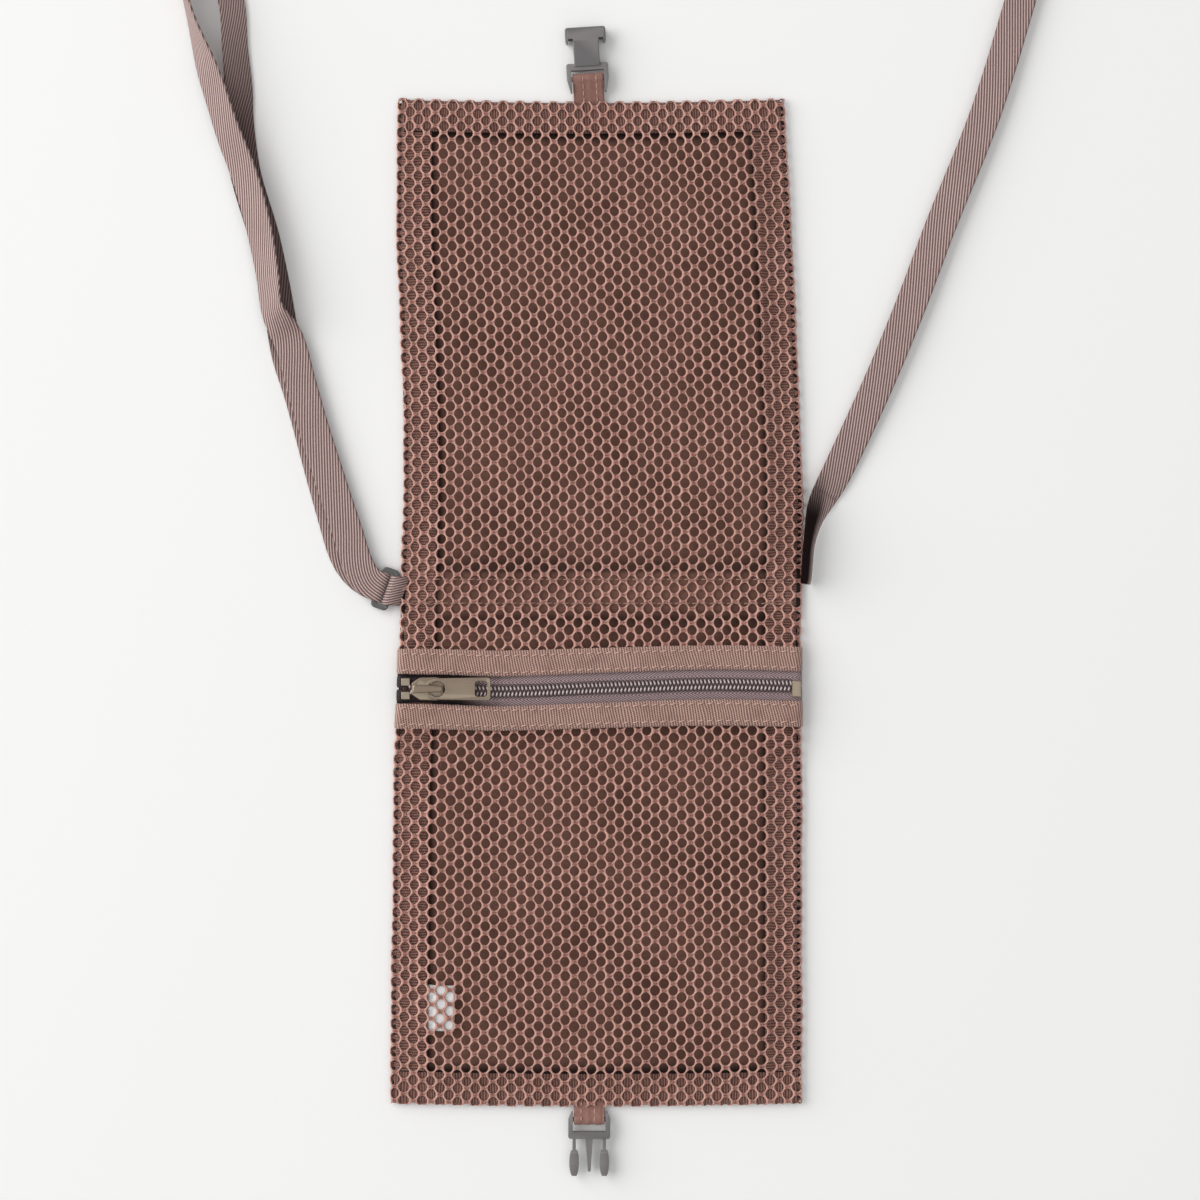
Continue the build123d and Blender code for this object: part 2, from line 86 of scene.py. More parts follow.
HALF_WIDTH, HALF_LENGTH = box_mm("upper_back_panel")[1][:2]
BINDING_WIDTH = box_mm("binding_top")[1][1] - box_mm("binding_top")[0][1]
WEB_LOW, WEB_HIGH = box_mm("spine_webbing")
WEB_Y = (WEB_LOW[1] + WEB_HIGH[1]) / 2
WEB_WIDTH = WEB_HIGH[1] - WEB_LOW[1]
WEB = WEB_HIGH[2] - WEB_LOW[2]

COIL_LOW, COIL_HIGH = box_mm("zip_coil_upper")
COIL_LEFT, COIL_RIGHT = COIL_LOW[0], COIL_HIGH[0]
COIL_LOW_Z, COIL_TOP_Z = COIL_LOW[2], COIL_HIGH[2]
ZIP_Y = (COIL_LOW[1] + box_mm("zip_coil_lower")[1][1]) / 2
TAPE_Z = middle_mm("zip_tape_upper")[2]
FACING_Z = middle_mm("zip_facing_upper")[2]
WINDOW_HALF = box_mm("zip_facing_upper")[0][1] - ZIP_Y
FACING_OUT = box_mm("zip_facing_upper")[1][1] - ZIP_Y
ROLL_HALF = HALF_WIDTH + 0.2  # where the zip's strips turn down at the sides

# How the cloth lies: (place along the pouch, side edge there)
LEFT_EDGE = [(-163, -68.2), (-100, -67.5), (-54, -66.9), (-32, -65.9), (0, -64.9), (45, -63.8)]
LEFT_EDGE += [(82, -64.6), (127, -66.2), (163, -65.6)]
RIGHT_EDGE = [(-163, 65.6), (-54, 65.5), (0, 65.3), (30, 65.9), (82, 64.0), (127, 62.0), (163, 59.6)]
# (place across the pouch, how far the zip strays from its line there)
ZIP_WAVE = [(-65, 0.0), (-52, -0.2), (-35, -0.8), (0, 0.3), (40, 1.4), (65, 0.8)]

# Net
COLUMN = 2.825  # from one column of holes to the next
ROW = 4.53  # from hole to hole in a column
HOLE = 1.56  # mean radius
STRAND = 0.24  # from a hole's rim to the crest of the strand round it
NET_SEAM_Z = 2.2  # middle of the net's thickness at the seams
NET_CROWN_Z = 4.7
NET_UNDER_Z = 0.75  # where the net is turned under the edges
NET_TURNED_IN = 4.5  # how far the net runs round the edges
FOLD_LOW_Y, FOLD_HIGH_Y = -3.2, 8.6  # the band sewn flat over the strap bearer

# Ribs and stitches
BINDING_RIB = 0.9
FACING_RIB = 0.87
RIDGE_PITCH, RIDGE_SLANT = 0.92, 0.29  # ridges of the twill webbing
COIL_PITCH = 1.25
COIL_CROWN = 1.35  # how far along a turn of the coil its crown is
FACING_ROWS = (WINDOW_HALF + 1.3, FACING_OUT - 1.3)  # stitch rows, from the zip's middle
STITCH_PITCH = 3.0
SEAM_PITCH = 2.8
SEAM_FROM_BEARER = 3.9  # rows at the fold from the bearer's middle


def cubic(t, start, start_slope, end, end_slope):
    """Smoothly from start to end as t goes from 0 to 1, with given slopes at both."""
    leaving = (1 + 2 * t) * (1 - t) ** 2 * start + t * (1 - t) ** 2 * start_slope
    return leaving + t * t * (3 - 2 * t) * end + t * t * (t - 1) * end_slope


def smooth_through(stations, at):
    """A smooth curve through (position, value) stations, read at any positions."""
    x, y = np.array(stations, float).T
    slope = np.gradient(y, x)
    at = np.clip(at, x[0], x[-1])
    i = np.clip(np.searchsorted(x, at) - 1, 0, len(x) - 2)
    h = x[i + 1] - x[i]
    return cubic((at - x[i]) / h, y[i], h * slope[i], y[i + 1], h * slope[i + 1])


def ease(value, start, end):
    """0 before start, 1 after end, smooth between."""
    t = np.clip((value - start) / (end - start), 0.0, 1.0)
    return t * t * (3 - 2 * t)


def ripple(x, y):
    """Slow unevenness of cloth, about -1 to 1."""
    wide = np.sin(x / 23 + y / 41 + 1.3) * np.cos(y / 31 - x / 57)
    fine = np.sin(x / 9.1 - y / 17 + 0.4) * np.sin(y / 12.3 + x / 29)
    return 0.65 * wide + 0.35 * fine


def lay(x, y):
    """Where a point of the pattern lies on the floor: the sides lean and the ends bow a little."""
    left, right = smooth_through(LEFT_EDGE, y), smooth_through(RIGHT_EDGE, y)
    share = (x + HALF_WIDTH) / (2 * HALF_WIDTH)
    across = np.clip(np.abs(x) / HALF_WIDTH, 0, 1) ** 2
    bow_from = 110
    top_bow = (1.1 * across - 0.3) * ease(y, bow_from, HALF_LENGTH)
    bottom_bow = (across - 1.0) * ease(-y, bow_from, HALF_LENGTH)
    return left + share * (right - left), y + top_bow + bottom_bow


def zip_wave(x):
    return smooth_through(ZIP_WAVE, x)


def seam_height(y):
    """Height of the net at the side seams, which is more where the zip crosses them."""
    at_zip = 1 - ease(np.abs(y - ZIP_Y), FACING_OUT, FACING_OUT + 14)
    return NET_SEAM_Z + 2.6 * at_zip


def front_height(x, y):
    """Height of the net fronts, middle of their thickness."""
    from_edges = ease(HALF_WIDTH - np.abs(x), 5, 15) * ease(HALF_LENGTH - np.abs(y), 5, 15)
    above_fold = ease(y, FOLD_HIGH_Y, FOLD_HIGH_Y + 14)
    below_fold = ease(-y, -FOLD_LOW_Y, -FOLD_LOW_Y + 11)
    away = from_edges * (above_fold + below_fold)
    seam = seam_height(y)
    crown = NET_CROWN_Z - 0.5 * away + 0.35 * ripple(x, y)
    return seam + (crown - seam) * away + 0.06 * ripple(4 * x, 4 * y)


def rib(distance, pitch):
    """Ridges from 0 to 1 along a distance."""
    return 0.5 + 0.5 * np.cos(2 * pi * distance / pitch)


def roll(distance, half, radius):
    """Wraps a distance from the middle round a rolled edge.

    Gives the place across, and the drop below the front.
    """
    size = np.abs(distance)
    flat = half - radius
    angle = np.clip((size - flat) / radius, 0, pi)
    beyond = np.maximum(0, size - flat - pi * radius)
    place = np.minimum(size, flat) + radius * np.sin(angle) - beyond
    return np.sign(distance) * place, radius * (1 - np.cos(angle))


def net_surface(s, t):
    """Where a point of the net lies, from distances along the net across and along the pouch."""
    end_radius = (NET_SEAM_Z - NET_UNDER_Z) / 2
    y, end_drop = roll(t, HALF_LENGTH, end_radius)
    side_radius = (seam_height(y) - NET_UNDER_Z) / 2
    x, side_drop = roll(s, HALF_WIDTH, side_radius)
    z = np.maximum(front_height(x, y) - side_drop - end_drop, NET_UNDER_Z)
    edge_wave = 0.22 * np.sin(y / 7.3 + np.sign(x)) * np.sin(y / 19 + x)
    px, py = lay(x, y)
    return np.stack([px + edge_wave * ease(np.abs(x), 50, 64), py, z], axis=-1)


def unit(vectors):
    """Vectors brought to length 1."""
    return vectors / np.maximum(np.linalg.norm(vectors, axis=-1, keepdims=True), 1e-9)


def surface_normal(surface, s, t):
    """Unit normal of a surface given as a function of two distances."""
    step = 0.05
    along_s = surface(s + step, t) - surface(s - step, t)
    along_t = surface(s, t + step) - surface(s, t - step)
    return unit(np.cross(along_s, along_t))


# Mesh building


def grid_faces(rows, columns, offset=0, joined=False):
    """Quads of a rows by columns grid of points, joined round in the columns where asked."""
    last = columns if joined else columns - 1
    i, j = np.meshgrid(np.arange(rows - 1), np.arange(last), indexing="ij")
    k = (j + 1) % columns
    quads = np.stack([i * columns + j, (i + 1) * columns + j, (i + 1) * columns + k, i * columns + k], -1)
    return (quads.reshape(-1, 4) + offset).tolist()


def build_mesh(points, faces, uv, raised=None):
    """A mesh in metres, with the weave's UV and, where given, how far each point is raised."""
    mesh = bpy.data.meshes.new("mesh")
    mesh.from_pydata((np.asarray(points) * MM).tolist(), [], faces)
    mesh.polygons.foreach_set("use_smooth", np.ones(len(faces), bool))
    corners = np.empty(len(mesh.loops), np.int32)
    mesh.loops.foreach_get("vertex_index", corners)
    layer = mesh.uv_layers.new(name=WEAVE_UV)
    layer.data.foreach_set("uv", np.asarray(uv, np.float32)[corners].ravel())
    if raised is not None:
        attribute = mesh.attributes.new(RAISED, "FLOAT", "POINT")
        attribute.data.foreach_set("value", np.asarray(raised, np.float32))
    mesh.update()
    return mesh


def piece(name, mesh, material, body=None, stands_for=()):
    """Puts a mesh in the scene as a named piece of the object."""
    mesh.name = name
    obj = bpy.data.objects.new(name, mesh)
    bpy.context.scene.collection.objects.link(obj)
    mesh.materials.append(material)
    if stands_for:
        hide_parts(*stands_for)
    if body:
        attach(obj, body)
    return obj


def sheet(u, v, place, thickness, relief=None, rim=0.5):
    """A thin closed cloth sheet.

    place(u, v) is its middle surface, and relief(u, v) stands up from its front.
    """
    grid_u, grid_v = np.meshgrid(u, v, indexing="ij")
    middle = np.stack(np.broadcast_arrays(*place(grid_u, grid_v)), axis=-1).astype(float)
    normal = unit(np.cross(np.gradient(middle, axis=0), np.gradient(middle, axis=1)))
    from_edge = np.minimum.reduce([grid_u - u[0], u[-1] - grid_u, grid_v - v[0], v[-1] - grid_v])
    rounding = np.sqrt(np.clip(1 - (1 - np.clip(from_edge / rim, 0, 1)) ** 2, 0.02, 1))
    half = thickness / 2 * rounding
    raised = half + (relief(grid_u, grid_v) * rounding if relief else 0)
    front = middle + normal * raised[..., None]
    back = middle - normal * half[..., None]
    rows, columns = len(u), len(v)
    points = np.concatenate([front.reshape(-1, 3), back.reshape(-1, 3)])
    count = rows * columns
    faces = grid_faces(rows, columns)
    faces += [face[::-1] for face in grid_faces(rows, columns, count)]
    index = np.arange(count).reshape(rows, columns)
    edge = np.concatenate([index[:-1, 0], index[-1, :-1], index[:0:-1, -1], index[0, :0:-1]])
    following = np.roll(edge, -1)
    faces += np.stack([edge, edge + count, following + count, following], -1).tolist()
    uv = np.stack([grid_u.ravel(), grid_v.ravel()], -1)
    return build_mesh(points, faces, np.concatenate([uv, uv]), np.repeat([1.0, 0.0], count))


def tubes(paths, radii, sides):
    """Round threads along paths of the same number of points, with a radius for each point."""
    paths = np.asarray(paths, float)
    count, length = paths.shape[:2]
    tangent = unit(np.gradient(paths, axis=1))
    across = unit(np.cross(tangent, (0, 0, 1)))
    lift = np.cross(across, tangent)
    angle = np.arange(sides) * 2 * pi / sides
    ring = across[:, :, None] * np.cos(angle)[:, None] + lift[:, :, None] * np.sin(angle)[:, None]
    points = paths[:, :, None] + ring * radii[:, None, None]
    faces = []
    for start in range(0, count * length * sides, length * sides):
        last = start + (length - 1) * sides
        faces += grid_faces(length, sides, start, joined=True)
        faces += [list(range(start, start + sides)), list(range(last, last + sides))[::-1]]
    steps = np.linalg.norm(np.diff(paths, axis=1, prepend=paths[:, :1]), axis=-1)
    far = np.cumsum(steps, axis=1)[..., None]
    uv = np.stack(np.broadcast_arrays(angle, far), -1).reshape(-1, 2)
    return build_mesh(points.reshape(-1, 3), faces, uv)


def stitches(rows, radius=0.17):
    """Rows of sewing thread, each given as (surface, start, end, pitch, slant).

    surface(at, aside) gives points on the cloth at distances along the row and aside from it.
    Each stitch dips into the cloth at both ends.
    """
    share = np.array([0.0, 0.18, 0.5, 0.82, 1.0])
    rise = np.array([-0.28, 0.08, 0.2, 0.08, -0.28])
    gap, length = 0.12, 0.72  # as shares of the pitch
    paths = []
    for surface, start, end, pitch, slant in rows:
        count = round((end - start) / pitch)
        for i in range(count):
            at = start + (i + gap + length * share) * (end - start) / count
            points = surface(at, slant * (share - 0.5))
            points[:, 2] += rise if points[0, 2] >= 0 else -rise
            paths.append(points)
    return tubes(paths, radius * np.array([0.6, 1, 1.05, 1, 0.6]), sides=5)


def along_path(points):
    """Distance along a path of points."""
    return np.concatenate([[0], np.cumsum(np.linalg.norm(np.diff(points, axis=0), axis=1))])


def shares(count):
    """Even steps from 0 to 1, one to a row."""
    return np.linspace(0, 1, count)[:, None]


def through(points, step):
    """A smooth path through points, sampled about every step."""
    points = np.asarray(points, float)
    far = along_path(points)
    at = np.linspace(0, far[-1], max(2, int(far[-1] / step)))
    return np.stack([smooth_through(np.stack([far, axis], -1), at) for axis in points.T], -1)


def turned(vector, degrees):
    """A plan vector turned anticlockwise."""
    c, s = cos(radians(degrees)), sin(radians(degrees))
    return np.array([c * vector[0] - s * vector[1], s * vector[0] + c * vector[1], 0.0])


def ribbon(path, side, width, thickness, across=15, relief=None, begin=0.0):
    """Webbing along a path. side is the unit direction across it, for each point or for all."""
    side = np.broadcast_to(side, path.shape)
    far = along_path(path) + begin

    def place(u, v):
        i = np.clip(np.searchsorted(far, v) - 1, 0, len(far) - 2)
        t = ((v - far[i]) / (far[i + 1] - far[i]))[..., None]
        centre = path[i] * (1 - t) + path[i + 1] * t
        sideways = side[i] * (1 - t) + side[i + 1] * t
        return np.moveaxis(centre + sideways * u[..., None], -1, 0)

    u = width / 2 * np.sin(np.linspace(-pi / 2, pi / 2, across))
    return sheet(u, far, place, thickness, relief, rim=thickness / 2)


# Materials


def srgb(red, green, blue):
    """A display colour as linear values."""
    channels = np.array([red, green, blue]) / 255
    linear = np.where(channels <= 0.04045, channels / 12.92, ((channels + 0.055) / 1.055) ** 2.4)
    return (*linear.tolist(), 1.0)


class Value:
    """What a node puts out. Values add, subtract and multiply as plain numbers do."""

    __array_ufunc__ = None  # so that numpy's numbers leave the arithmetic to this class

    def __init__(self, shader, socket):
        self.shader, self.socket = shader, socket

    def __add__(self, other):
        return self.shader.calc("ADD", self, other)

    def __sub__(self, other):
        return self.shader.calc("SUBTRACT", self, other)

    def __rsub__(self, other):
        return self.shader.calc("SUBTRACT", other, self)

    def __mul__(self, other):
        return self.shader.calc("MULTIPLY", self, other)

    def __abs__(self):
        return self.shader.calc("ABSOLUTE", self)


class Shader:
    """A material being put together from nodes. Their inputs may be numbers, colours or values."""

    def __init__(self, name):
        self.material = bpy.data.materials.new(name)
        self.material.use_nodes = True
        self.tree = self.material.node_tree
        self.tree.nodes.clear()

    def node(self, kind, **settings):
        made = self.tree.nodes.new(kind)
        for key, value in settings.items():
            setattr(made, key, value)
        return made

    def feed(self, socket, value):
        if isinstance(value, Value):
            self.tree.links.new(value.socket, socket)
        else:
            socket.default_value = value

    def calc(self, operation, *numbers):
        made = self.node("ShaderNodeMath", operation=operation)
        for socket, number in zip(made.inputs, numbers):
            self.feed(socket, number)
        return Value(self, made.outputs[0])

    def uv(self):
        """The weave's vector, and its parts across and along the cloth."""
        vector = Value(self, self.node("ShaderNodeUVMap", uv_map=WEAVE_UV).outputs[0])
        split = self.node("ShaderNodeSeparateXYZ")
        self.feed(split.inputs[0], vector)
        return vector, Value(self, split.outputs[0]), Value(self, split.outputs[1])

    def raised(self):
        return Value(self, self.node("ShaderNodeAttribute", attribute_name=RAISED).outputs["Fac"])

    def place(self):
        return Value(self, self.node("ShaderNodeTexCoord").outputs["Object"])

    def sharpness(self):
        """About 0.5 on flat faces and more along outer edges."""
        return Value(self, self.node("ShaderNodeNewGeometry").outputs["Pointiness"])

    def noise(self, vector, scale, detail):
        made = self.node("ShaderNodeTexNoise")
        for name, value in (("Vector", vector), ("Scale", scale), ("Detail", detail)):
            self.feed(made.inputs[name], value)
        return Value(self, made.outputs["Fac"])

    def wave(self, phase, pitch):
        """Ridges from 0 to 1 along a distance."""
        return self.calc("COSINE", phase * (2 * pi / pitch)) * 0.5 + 0.5

    def between(self, value, low, high):
        """0 at one limit and 1 at the other, smooth between."""
        made = self.node("ShaderNodeMapRange", interpolation_type="SMOOTHSTEP")
        for name, number in (("Value", value), ("From Min", low), ("From Max", high)):
            self.feed(made.inputs[name], number)
        return Value(self, made.outputs[0])

    def mix(self, share, first, second):
        """A colour between two colours. The node's colour inputs come after its plain ones."""
        made = self.node("ShaderNodeMix", data_type="RGBA")
        self.feed(made.inputs["Factor"], share)
        self.feed(made.inputs[6], first)
        self.feed(made.inputs[7], second)
        return Value(self, made.outputs[2])

    def finish(self, colour, roughness, height, relief, sheen=0.0, metallic=0.0, specular=0.35):
        """The finished material. height is its fine relief from 0 to 1, and relief its depth in mm."""
        surface = self.node("ShaderNodeBsdfPrincipled")
        self.feed(surface.inputs["Base Color"], colour)
        self.feed(surface.inputs["Roughness"], roughness)
        self.feed(surface.inputs["Metallic"], metallic)
        self.feed(surface.inputs["Specular IOR Level"], specular)
        self.feed(surface.inputs["Sheen Weight"], sheen)
        self.feed(surface.inputs["Sheen Roughness"], 0.5)
        bump = self.node("ShaderNodeBump")
        self.feed(bump.inputs["Strength"], 1.0)
        self.feed(bump.inputs["Distance"], relief * MM)
        self.feed(bump.inputs["Height"], height)
        self.tree.links.new(bump.outputs[0], surface.inputs["Normal"])
        output = self.node("ShaderNodeOutputMaterial")
        self.tree.links.new(surface.outputs[0], output.inputs[0])
        return self.material


def net_material():
    """Warp-knitted polyester: light strands beside the holes, darker and pinker knots, and painted shade at
    the hole rims and underneath.
    """
    shader = Shader("net")
    vector, u, v = shader.uv()
    twist = shader.wave(u * 0.8 + v, 0.42)
    wear_and_edge_highlight = shader.noise(vector, 0.05, 4)
    speck = shader.between(shader.noise(vector, 2.6, 2), 0.38, 0.62)
    knot = shader.mix(speck, srgb(86, 48, 42), srgb(180, 126, 112))
    light = shader.mix(wear_and_edge_highlight, srgb(230, 180, 164), srgb(200, 148, 134))
    # Colour follows how raised each point is: strand tops are light, knots keep their own darker pinker
    # colour, and the hole rims and underside get it too as painted shade.
    colour = shader.mix(shader.between(shader.raised(), 0.15, 0.85), knot, light)
    colour = shader.mix(twist * 0.16, colour, srgb(112, 70, 64))
    return shader.finish(colour, wear_and_edge_highlight * 0.2 + 0.55, twist, 0.05, sheen=0.25)


def seam_shaded(shader, colour, u, v):
    """Paints shade on the inner face beside the bindings and beside the band sewn over the strap bearer."""
    shade_colour, inner_face = srgb(26, 12, 9), shader.raised()
    from_side = HALF_WIDTH - BINDING_WIDTH - abs(u)
    from_end = HALF_LENGTH - BINDING_WIDTH - abs(v)
    from_binding = shader.calc("MINIMUM", from_side, from_end)
    # Painted shade along the bindings' inner edges.
    shade = (1.0 - shader.between(from_binding, 0.6, 4.5)) * inner_face
    colour = shader.mix(shade * 0.93, colour, shade_colour)
    band_middle, band_half = (FOLD_LOW_Y + FOLD_HIGH_Y) / 2, (FOLD_HIGH_Y - FOLD_LOW_Y) / 2
    from_band = abs(v - band_middle)
    # Painted shade just above and below the band.
    outside = shader.between(from_band, band_half, band_half + 2)
    near = 1.0 - shader.between(from_band, band_half + 2, band_half + 8)
    return shader.mix(outside * near * inner_face * 0.55, colour, shade_colour)


def woven_material(name, dark, light, seam_shade=False):
    """Plain weave cloth, with the crossings of its threads raised."""
    shader = Shader(name)
    vector, u, v = shader.uv()
    cloth = abs(shader.wave(u, 0.52) - shader.wave(v, 0.48))
    slub = shader.noise(vector, 0.9, 3)
    wide = shader.noise(vector, 0.03, 3)
    colour = shader.mix(cloth * 0.55 + slub * 0.45, dark, light)
    colour = shader.mix(shader.between(wide, 0.35, 0.75) * 0.6, colour, dark)
    # Painted shade by the seams, on the inner face only.
    if seam_shade:
        colour = seam_shaded(shader, colour, u, v)
    return shader.finish(colour, 0.75, cloth + slub * 0.5, 0.12, sheen=0.15, specular=0.2)


def grosgrain_material(name, dark, light, pitch, lean=0.0):
    """Tape with ribs across it, which may lean a little, and fine weft threads over each rib."""
    shader = Shader(name)
    vector, u, v = shader.uv()
    wander = shader.noise(vector, 0.12, 2) * 1.6
    ribs = shader.wave(u * lean + v + wander, pitch)
    weft = shader.wave(u + v * (0.31 / pitch), 0.62)
    fibre = shader.noise(vector, 2.4, 3)
    blotch = shader.between(shader.noise(vector, 0.16, 3), 0.45, 0.75)
    share = ribs * 0.6 + weft * 0.25 + fibre * 0.3
    colour = shader.mix(shader.between(share, 0.1, 1.0), dark, light)
    colour = shader.mix(blotch * 0.3, colour, dark)
    rough, height = fibre * 0.25 + 0.5, ribs + weft * 0.5
    return shader.finish(colour, rough, height, 0.2, sheen=0.3, specular=0.3)


def foot_shade(shader, u, v, start, end):
    """Painted shade that begins at the strap's inner edge and spreads over it on the way to its foot."""
    front = 2.6 - shader.between(v, start, end) * 5.2
    return shader.between(v, start - 2, end) * shader.between(u - front, -2.2, 2.4)


def twill_material(name, mirror_at=2000.0, foot=None, shade_beneath=None):
    """Twill webbing: narrow ridges that lean off its length, and painted shade as a dark line along each
    edge.

    The ridges lean the other way beyond the distance mirror_at. Shade is painted over two optional
    stretches: one at the strap's sewn end, given as foot, and one where the strap lies under another
    strand.
    """
    dark, middle, light = srgb(96, 72, 70), srgb(166, 136, 131), srgb(220, 200, 195)
    shader = Shader(name)
    vector, u, v = shader.uv()
    ridge = shader.wave(abs(v - mirror_at) * RIDGE_SLANT + u, RIDGE_PITCH)
    floats = shader.wave(u * 0.9 + v, 0.8)
    fibre = shader.noise(vector, 1.3, 3)
    wide = shader.noise(vector, 0.06, 2)
    share = ridge * 0.84 + floats * 0.06 + fibre * 0.22
    colour = shader.mix(shader.between(share, 0.08, 0.6), dark, middle)
    colour = shader.mix(shader.between(share, 0.66, 1.05), colour, light)
    colour = shader.mix(wide * 0.22, colour, dark)
    # Painted shade: a dark line along both edges.
    edge_shade = shader.between(abs(u), WEB_WIDTH / 2 - 0.5, WEB_WIDTH / 2 - 0.1)
    colour = shader.mix(edge_shade * 0.4, colour, srgb(62, 42, 42))
    if shade_beneath:
        start, end = shade_beneath
        # Painted shade over the stretch that lies under the front strand.
        shade = shader.between(v, start - 12, start) * shader.between(v, end + 50, end)
        colour = shader.mix(shade * 0.64, colour, srgb(44, 28, 28))
    # Painted shade on the foot. Sheen and specular fade with it so that it stays dark.
    lustre = 1.0
    if foot:
        shade = foot_shade(shader, u, v, *foot)
        colour = shader.mix(shade * 0.97, colour, srgb(24, 14, 15))
        lustre = 1.0 - shade
    height = ridge + floats * 0.12
    return shader.finish(colour, 0.62, height, 0.2, sheen=lustre * 0.15, specular=lustre * 0.2)


def herringbone_material():
    """Zip tape: chevron twill in narrow stripes, with painted shade to the left of the slider."""
    shader = Shader("zip_tape_cloth")
    vector, u, v = shader.uv()
    stripe = shader.calc("PINGPONG", abs(u) - 2.8, 3.4)
    ridge = shader.wave(v * -0.55 + stripe, 0.66)
    share = ridge * 0.65 + shader.noise(vector, 2.0, 3) * 0.4
    colour = shader.mix(shader.between(share, 0.15, 0.95), srgb(104, 84, 90), srgb(190, 168, 168))
    # Painted shade: the tape turns near black to the left of the slider.
    colour = shader.mix(shader.between(v, -34.0, -46.0) * 0.9, colour, srgb(24, 16, 18))
    return shader.finish(colour, 0.7, ridge, 0.16, sheen=0.05, specular=0.15)


def coil_material():
    """Nylon coil, with painted highlights on the crowns of its turns."""
    shader = Shader("zip_coil_nylon")
    vector, _, v = shader.uv()
    grain = shader.noise(vector, 3.0, 2)
    # Painted highlight along the middle of each turn, where its crown is.
    crown = shader.between(abs(v - COIL_CROWN), 0.75, 0.35)
    colour = shader.mix(crown, srgb(78, 62, 64), srgb(206, 190, 188))
    colour = shader.mix(grain * 0.25, colour, srgb(120, 104, 104))
    return shader.finish(colour, grain * 0.2 + 0.28, grain, 0.03, specular=0.5)


def thread_material(name, dark, light):
    """Twisted sewing thread."""
    shader = Shader(name)
    _, u, v = shader.uv()
    twist = shader.wave(u * 0.09 + v, 0.55)
    return shader.finish(shader.mix(twist, dark, light), 0.6, twist, 0.06, sheen=0.3)


def painted_metal_material():
    """Satin paint on cast metal, with painted highlights along the edges."""
    shader = Shader("painted_metal")
    spot = shader.place()
    fine = shader.noise(spot, 2600.0, 2)
    wear_and_edge_highlight = shader.between(shader.sharpness(), 0.505, 0.56)
    colour = shader.mix(shader.noise(spot, 140.0, 4), srgb(126, 110, 96), srgb(146, 129, 113))
    # Painted highlight: paler colour along the sharp edges.
    colour = shader.mix(wear_and_edge_highlight * 0.4, colour, srgb(196, 182, 158))
    return shader.finish(colour, fine * 0.12 + 0.26, fine, 0.02, metallic=0.55, specular=0.5)


def moulded_plastic_material(name, dark, light):
    """Moulded acetal with a fine satin grain, faint flow marks and painted highlights along its edges."""
    shader = Shader(name)
    spot = shader.place()
    grain = shader.noise(spot, 3200.0, 2)
    edge = shader.between(shader.sharpness(), 0.51, 0.58)
    colour = shader.mix(shader.noise(spot, 120.0, 3), dark, light)
    # Painted highlight: paler colour along the sharp edges.
    colour = shader.mix(edge * 0.4, colour, srgb(150, 146, 143))
    return shader.finish(colour, grain * 0.16 + 0.36, grain, 0.025, specular=0.45)


def floor_material():
    """Plain pale paper."""
    shader = Shader("floor_paper")
    grain = shader.noise(shader.place(), 400.0, 2)
    colour = shader.mix(grain * 0.03, srgb(246, 246, 245), srgb(236, 236, 236))
    return shader.finish(colour, 0.9, grain, 0.01, specular=0.1)


NET = net_material()
BACK_CLOTH = woven_material("back_cloth_weave", srgb(84, 53, 44), srgb(166, 122, 106), seam_shade=True)
TAB_CLOTH = woven_material("tab_cloth_weave", srgb(110, 74, 66), srgb(196, 150, 136))
LABEL = woven_material("label_satin", srgb(246, 243, 243), srgb(254, 253, 253))
FACING = grosgrain_material("facing_grosgrain", srgb(96, 64, 57), srgb(206, 168, 154), FACING_RIB, lean=0.2)
BINDING = grosgrain_material("binding_grosgrain", srgb(74, 44, 38), srgb(164, 118, 104), BINDING_RIB)
WEBBING = twill_material("strap_twill")
HERRINGBONE = herringbone_material()
COIL = coil_material()
PALE_THREAD = thread_material("pale_thread", srgb(176, 134, 122), srgb(232, 196, 182))
SEAM_THREAD = thread_material("seam_thread", srgb(140, 102, 92), srgb(186, 146, 132))
METAL = painted_metal_material()
BUCKLE_PLASTIC = moulded_plastic_material("buckle_acetal", srgb(92, 90, 91), srgb(108, 105, 105))
RING_PLASTIC = moulded_plastic_material("ring_acetal", srgb(78, 77, 78), srgb(96, 94, 94))


# Pouch


def bend_at_fold(obj):
    """Bakes the placing of cloth that runs round the fold between the two halves into its mesh."""
    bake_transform(obj)


def hexagon_ring():
    """Outline of one cell of the net, with points that its neighbours share."""
    step_x, step_y = COLUMN, ROW / 2
    reach = (step_x**2 + step_y**2) / 2
    right = np.array([reach / step_x, 0.0])
    high = np.array([(reach - step_y**2) / step_x, step_y])
    quarter = [right, right + (high - right) / 3, right + (high - right) * 2 / 3, high]
    half = quarter + [np.array([0, step_y])] + [p * (-1, 1) for p in quarter[::-1]]
    return np.array(half + [p * (1, -1) for p in half[-2:0:-1]])


def net_cells(low, high, row_shift):
    """Middles of the net's cells between two places along it, without those beyond a corner."""
    half_columns = int((HALF_WIDTH + NET_TURNED_IN) / COLUMN) + 1
    cells = [
        ((i + 0.5) * COLUMN, (j + 0.5 * (i % 2)) * ROW + row_shift)
        for i in range(-half_columns, half_columns)
        for j in range(int(low // ROW) - 1, int(high // ROW) + 2)
    ]
    x, y = np.array(cells).T
    beyond_corner = (np.abs(x) > HALF_WIDTH) & (np.abs(y) > HALF_LENGTH)
    return np.stack([x, y], -1)[(y > low) & (y < high) & ~beyond_corner]


